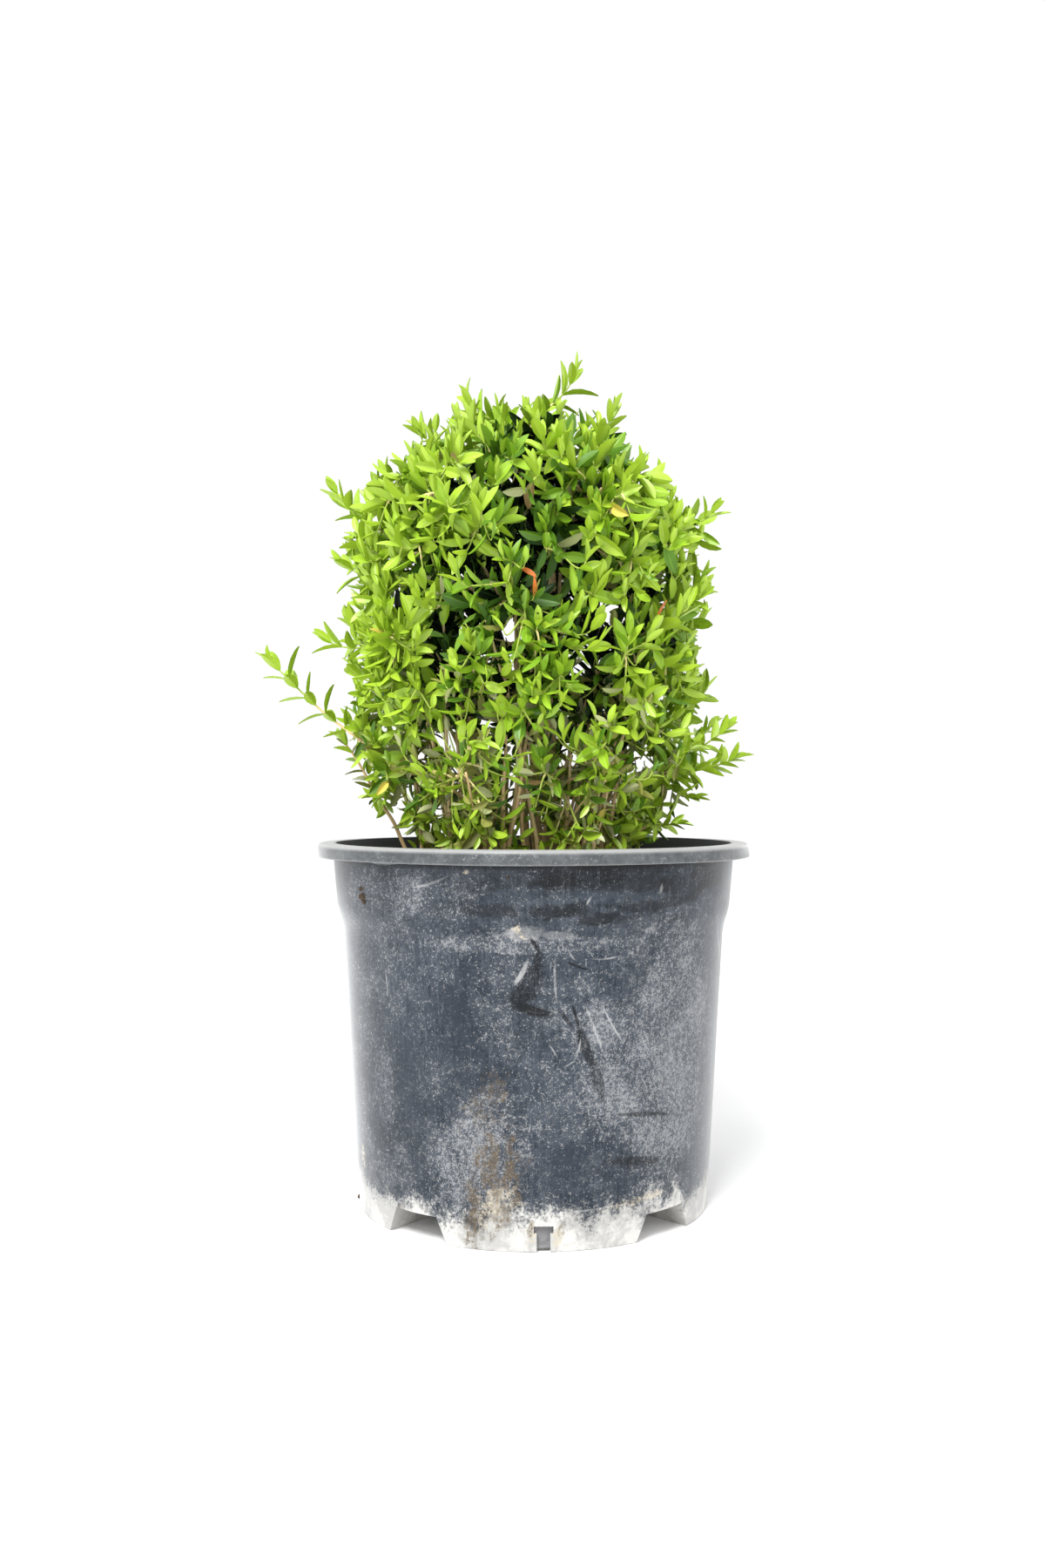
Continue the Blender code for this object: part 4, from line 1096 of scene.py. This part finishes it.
def leafShade(level, light, low, foot, whole, rng):
    # the colour's place in leafColours: greyer low down, but not at the very foot
    shade = min(max(round(level + rng.gauss(0, shading["stray"])), 0), 6)
    greyed = shading["greyedOld" if shade < 5 else "greyedNew"] * (low - 0.4 * foot)
    if rng.random() < greyed and not whole:
        return rng.choice((oliveIndex, greyIndex, oliveIndex, greyIndex, 3, 4))
    if light < 0.75 and 1 <= shade <= 3 and rng.random() < 0.15:
        return rng.choice((oliveIndex, greyIndex))
    return shade


def leavesOn(path, leafy, light, size, rng, found):
    # pairs of leaves from the tip backwards, each pair crosswise to the last one
    lengths = lengthsAlong(path)
    total = lengths[-1]
    back, turn = 0.0, rng.uniform(0, pi)
    tone, whole = rng.gauss(0, 0.9), light == growth["longLight"]
    lean = rng.uniform(0.85, 1.2)
    ageing = shading["ageingLong" if whole else "ageing"]
    while back < min(leafy, total * 0.94):
        wanted = total - back
        step = next(index for index in range(1, len(path)) if lengths[index] >= wanted - 1e-9)
        share = (wanted - lengths[step - 1]) / (lengths[step] - lengths[step - 1])
        place = path[step - 1].lerp(path[step], share)
        along = (path[step] - path[step - 1]).normalized()
        side = along.orthogonal().normalized()
        side.rotate(Matrix.Rotation(turn, 3, along))
        grown, old = min(back / leaf["openAfter"], 1.0), max(back - leaf["oldFrom"], 0.0) / leaf["oldOver"]
        low = clampShare((leaf["lowBelow"] - place.z) / leaf["lowOver"])
        foot = clampShare((leaf["footBelow"] - place.z) / leaf["footOver"])
        angle = radians((blendValue(*leaf["angles"], grown) + leaf["lowAngle"] * low * grown) * lean)
        # the colour step follows the tip's exposure, so the leaves carry painted shade inside the crown, low
        # down and in the middle of the front
        level = shading["byLight"] * light + shading["start"] - ageing * back
        level = level - shading["lowOlder"] * low + tone
        # painted light: the leaves are a step lighter on the left, the side that faces the lamp
        level += shading["leftSunlit"] * ramp(-place.x, *shading["leftSide"])  # the sunny side
        level += shading["rightNewer"] * low * ramp(place.x, *shading["rightSide"])
        # painted light: the leaves at the crown's foot are lighter, against the crown's shadow on them
        level = max(level, shading["lowLeast"] * low) + shading["footPaintedLight"] * foot
        for way in (1, -1):
            if rng.random() < leaf["gap"] + leaf["oldGap"] * old + leaf["lowGap"] * low and not whole:
                continue
            opened = angle * rng.uniform(0.75, 1.25)
            direction = along * cos(opened) + side * way * sin(opened)
            direction = (direction + Vector((0, 0, leaf["lift"] - leaf["lowDrop"] * low))).normalized()
            length = size * blendValue(leaf["tipSize"], 1.0, grown) * (1 - leaf["oldLoss"] * min(old, 1.0))
            length *= rng.uniform(0.8, 1.14) * (1 - leaf["lowLoss"] * low)
            if inSkyGap(place + direction * length * 0.55):
                continue
            upper = along * 0.8 + Vector((0, 0, 0.35)) - direction * 0.1
            shade = leafShade(level, light, low, foot, whole, rng)
            width = leaf["width"] * rng.uniform(0.86, 1.16)
            found.append((place, direction, upper, length, width, shade, rng.randrange(6)))
        turn += pi / 2 + rng.gauss(0, 0.12)
        gap = blendValue(*leaf["spacing"], min(back / 0.018, 1.0))
        back += gap * rng.uniform(0.85, 1.2) * (1 - 0.2 * low)


def whipPath(middle, rng):
    aside, stray = whip["footStray"], whip["tipStray"]
    way = middle - crownPlace(0, 0.0, middle.z)
    foot = crownPlace(0, 0.0, soil["top"] - whip["sunk"]) + way * rng.uniform(*whip["spread"])
    foot += Vector((rng.uniform(-aside, aside), rng.uniform(-aside, aside), 0))
    tip = middle + Vector([rng.uniform(-stray, stray) for _ in range(3)])
    bend = Vector([blendValue(*parts) for parts in zip(foot, tip, whip["bend"])])
    return wandering(curve(foot, bend, tip, 22), whip["wander"], rng.randrange(40))


def growMass(name, tips, sprigTips):
    # the mass's stem goes on from its limb, shoots spring from it and sprigs from them
    rng = random.Random(f"{growth['seed']}{name}")
    middle, limbName = masses[name]
    points, sizes = lines[limbName]
    start = points[-1]
    along = (points[-1] - points[-3]).normalized()
    end = start + (middle - start) * growth["stemReach"]
    stem = wandering(curve(start, start + along * 0.5 * (end - start).length, end, 12), 0.0012, 3)
    stem.insert(0, points[-2])
    twigs = [(stem, (sizes[-1] * 0.97, growth["stemEnd"]))]
    leaves, shoots = [], []
    for tip, way, size, light in tips:
        upward = growth["upward"] * (growth["longUpward"] if size < 1 else 1.0)
        path = shootPath(stem, tip, way, growth["tipClear"] * size, upward, rng)
        shoots.append(path)
        twigs.append((path, growth["twigRadii"]))
        leafy = growth["leafy"][1] if size < 1 else rng.uniform(*growth["leafy"])
        leavesOn(path, leafy, light, growth["leafLength"] * growth["shootLeaf"], rng, leaves)
    for _ in range(whip["count"] if name.startswith(("low", "middle")) else 0):
        path = whipPath(middle, rng)
        twigs.append((path, whip["radii"]))
        leafy = (path[-1] - path[0]).length * whip["leafy"]
        leavesOn(path, leafy, exposure(path[-1]), growth["leafLength"] * whip["leaf"], rng, leaves)
        shoots.append(path[len(path) // 2:])
    for tip, way in sprigTips:
        parent = min(shoots + [stem], key=lambda path: (path[len(path) // 2] - tip).length)
        path = shootPath(parent, tip, way, growth["tipClear"], growth["upward"], rng)
        twigs.append((path, growth["sprigRadii"]))
        size = growth["leafLength"] * rng.uniform(*growth["sprigLeaf"])
        leavesOn(path, rng.uniform(*growth["leafy"]), exposure(tip), size, rng, leaves)
    return twigs, leaves


def leafShapes():
    # six leaves, cupped along the midrib and more or less curled, of unit length and width
    shapes = []
    across, alongLeaf = (-1.0, -0.55, -0.07, 0.07, 0.55, 1.0), (0.0, 0.12, 0.34, 0.6, 0.84, 1.0)
    outline = (0.08, 0.52, 0.94, 0.98, 0.66, 0.12)
    for cup, curl, twist in ((0.24, -0.08, 0.0), (0.34, 0.06, 0.06), (0.18, -0.16, -0.06),
                             (0.4, -0.1, 0.05), (0.28, 0.1, -0.05), (0.22, -0.22, 0.08)):
        bm = bmesh.new()
        bmesh.ops.create_grid(bm, x_segments=5, y_segments=5, size=1.0)
        for vert in bm.verts:
            column, row = round((vert.co.x + 1) * 2.5), round((vert.co.y + 1) * 2.5)
            t = alongLeaf[row]
            x = across[column] * outline[row]
            z = cup * abs(x) ** 1.4 * 0.3 + curl * t * t + 0.03 * (abs(across[column]) < 0.1) * -1
            x, z = x * cos(twist * t) - z * sin(twist * t), z + x * sin(twist * t) * 0.3
            vert.co = (x, t, z)
        ribs = [abs(face.calc_center_median().x) < 0.03 for face in bm.faces]
        shapes.append((shapeFromBmesh(bm), ribs))
    return shapes


def makeLeaves(name, leaves, shapes, finishes):
    copies = []
    for place, direction, upper, length, width, shade, pick in leaves:
        shape, ribs = shapes[pick]
        side = direction.cross(upper)
        side = (side if side.length > 0.01 else direction.orthogonal()).normalized()
        axes = np.array((side * length * width / 2, direction * length, side.cross(direction) * length))
        ribShade = shade + 1 if shade < 7 else shade
        copies.append((shape, axes, place, [ribShade if rib else shade for rib in ribs]))
    piece = joinedCopies(name, copies, finishes)
    piece.data.shade_smooth()
    return piece


def makeTwigs(name, twigs, finishes, rng):
    verts, faces, slots, sides = [], [], [], 5
    for path, radii in twigs:
        start, lengths = len(verts), lengthsAlong(path)
        thick = radii[0] > 0.0011
        older = 0 if rng.random() < 0.3 else 1
        for (_, side, other), point, radius in zip(framesAlong(path), path, taper(path, radii)):
            for number in range(sides):
                turn = 2 * pi * number / sides
                verts.append(tuple(point + (side * cos(turn) + other * sin(turn)) * radius))
        for ring in range(len(path) - 1):
            back = lengths[-1] - lengths[ring + 1]
            slot = 3 if back < 0.022 and not thick else 2 if back < 0.04 and not thick else older
            for number in range(sides):
                low, after = start + ring * sides, (number + 1) % sides
                faces.append((low + number, low + after, low + sides + after, low + sides + number))
                slots.append(slot)
        faces.append(range(start + sides - 1, start - 1, -1))
        faces.append(range(len(verts) - sides, len(verts)))
        slots += [slots[-1]] * 2
    piece = joinedMesh(name, verts, faces, slots, finishes)
    piece.data.shade_smooth()
    return piece


def wantedTips():
    # the source's shoots and the long ones, and then finer sprigs on the surface and inside
    def belowShoulder(tip):
        return tip[0].z + 0.8 * tip[0].x < growth["shoulder"]  # the right shoulder is lower

    rng = random.Random(growth["seed"])
    tips = [(place, way, 1.0, exposure(place)) for place, way in
            filter(belowShoulder, crownTips(growth["sourceTips"], rng, 0.0, (-0.01, 0.004)))]
    middle = Vector((*crown["axis"], crown["waist"]))
    for x, y, z in longShoots:
        place = Vector((x / 1000, y / 1000, z / 1000))
        tips.append((place, (place - middle).normalized(), growth["longSize"], growth["longLight"]))
    sprigs, sprigRng = [], random.Random(growth["sprigSeed"])
    for count, first, swell, lowest, highest in sprigKinds:
        found = crownTips(count, sprigRng, first, swell)
        sprigs += [tip for tip in found if lowest < tip[0].z < highest and belowShoulder(tip)]
    return tips, sprigs, rng


def makeFoliage():
    tips, sprigs, rng = wantedTips()

    def nearest(name, found):
        # those of the tips that are nearest this mass of all
        return [tip for tip in found
                if min(masses, key=lambda other: (masses[other][0] - tip[0]).length) == name]

    grown = {name: growMass(name, nearest(name, tips), nearest(name, sprigs)) for name in masses}
    for spot, shade in turnedLeaves:
        name, index = leafInSight(grown, Vector(spot))
        turned = grown[name][1][index]
        grown[name][1][index] = (*turned[:5], shade, turned[6])
    leafFinishes = []
    for name, colour in leafColours.items():
        finish, shader = newMaterial(name, 0.4, colour)
        setInputs(shader, {"Specular IOR Level": leafShine.get(name, 0.5)})
        leafFinishes.append(finish)
    twigFinishes = [newMaterial(name, 0.7, colour)[0] for name, colour in twigColours.items()]
    shapes = leafShapes()
    for name, (twigs, leaves) in grown.items():
        piece = makeTwigs(f"twigs_{name}", twigs, twigFinishes, rng)
        placePiece(piece, "bark", f"foliage_{name}")
        piece = makeLeaves(f"leaves_{name}", leaves, shapes, leafFinishes)
        placePiece(piece, "leaf", f"foliage_{name}")
    print("foliage made:", sum(len(leaves) for _, leaves in grown.values()), "leaves on",
          sum(len(twigs) for twigs, _ in grown.values()), "twigs")


makeFoliage()


# floor, light and camera

studio = {
    "floorSize": 40.0, "floor": (0.985, 0.985, 0.99), "sky": (1.0, 1.0, 1.0), "skyStrength": 1.03,
    "keyPlace": (-0.5, -1.42, 1.95), "keySize": 0.85, "keyPower": 60.0,
    "keyAim": (0.0, 0.0, 0.35), "lens": 32.09, "pitch": 0.0059, "yaw": 0.00754,
}


def makeFloor():
    bm = bmesh.new()
    bmesh.ops.create_grid(bm, x_segments=1, y_segments=1, size=studio["floorSize"] / 2)
    floor = objectFromBmesh("studioFloor", bm)
    floor.data.materials.append(newMaterial("paleFloor", 0.9, studio["floor"])[0])


def makeLights():
    world = bpy.data.worlds.new("studioSky")
    bpy.context.scene.world = world
    world.use_nodes = True
    setInputs(world.node_tree.nodes["Background"], {
        "Color": studio["sky"], "Strength": studio["skyStrength"]})
    lamp = bpy.data.lights.new("softbox", "AREA")
    lamp.shape, lamp.size, lamp.energy = "SQUARE", studio["keySize"], studio["keyPower"]
    softbox = newObject("softbox", lamp)
    softbox.location = studio["keyPlace"]
    aim = Vector(studio["keyAim"]) - softbox.location
    softbox.rotation_euler = aim.to_track_quat("-Z", "Y").to_euler()


def makeCamera():
    made = bpy.data.cameras.new("camera")
    made.lens, made.sensor_width, made.sensor_fit = studio["lens"], 36.0, "AUTO"
    made.clip_start = 0.05
    holder = newObject("camera", made)
    holder.location = eye
    holder.rotation_euler = (pi / 2 + studio["pitch"], 0.0, studio["yaw"])
    bpy.context.scene.camera = holder


makeFloor()
makeLights()
makeCamera()
bpy.context.scene.view_settings.view_transform = "Standard"
print("floor, light and camera made")
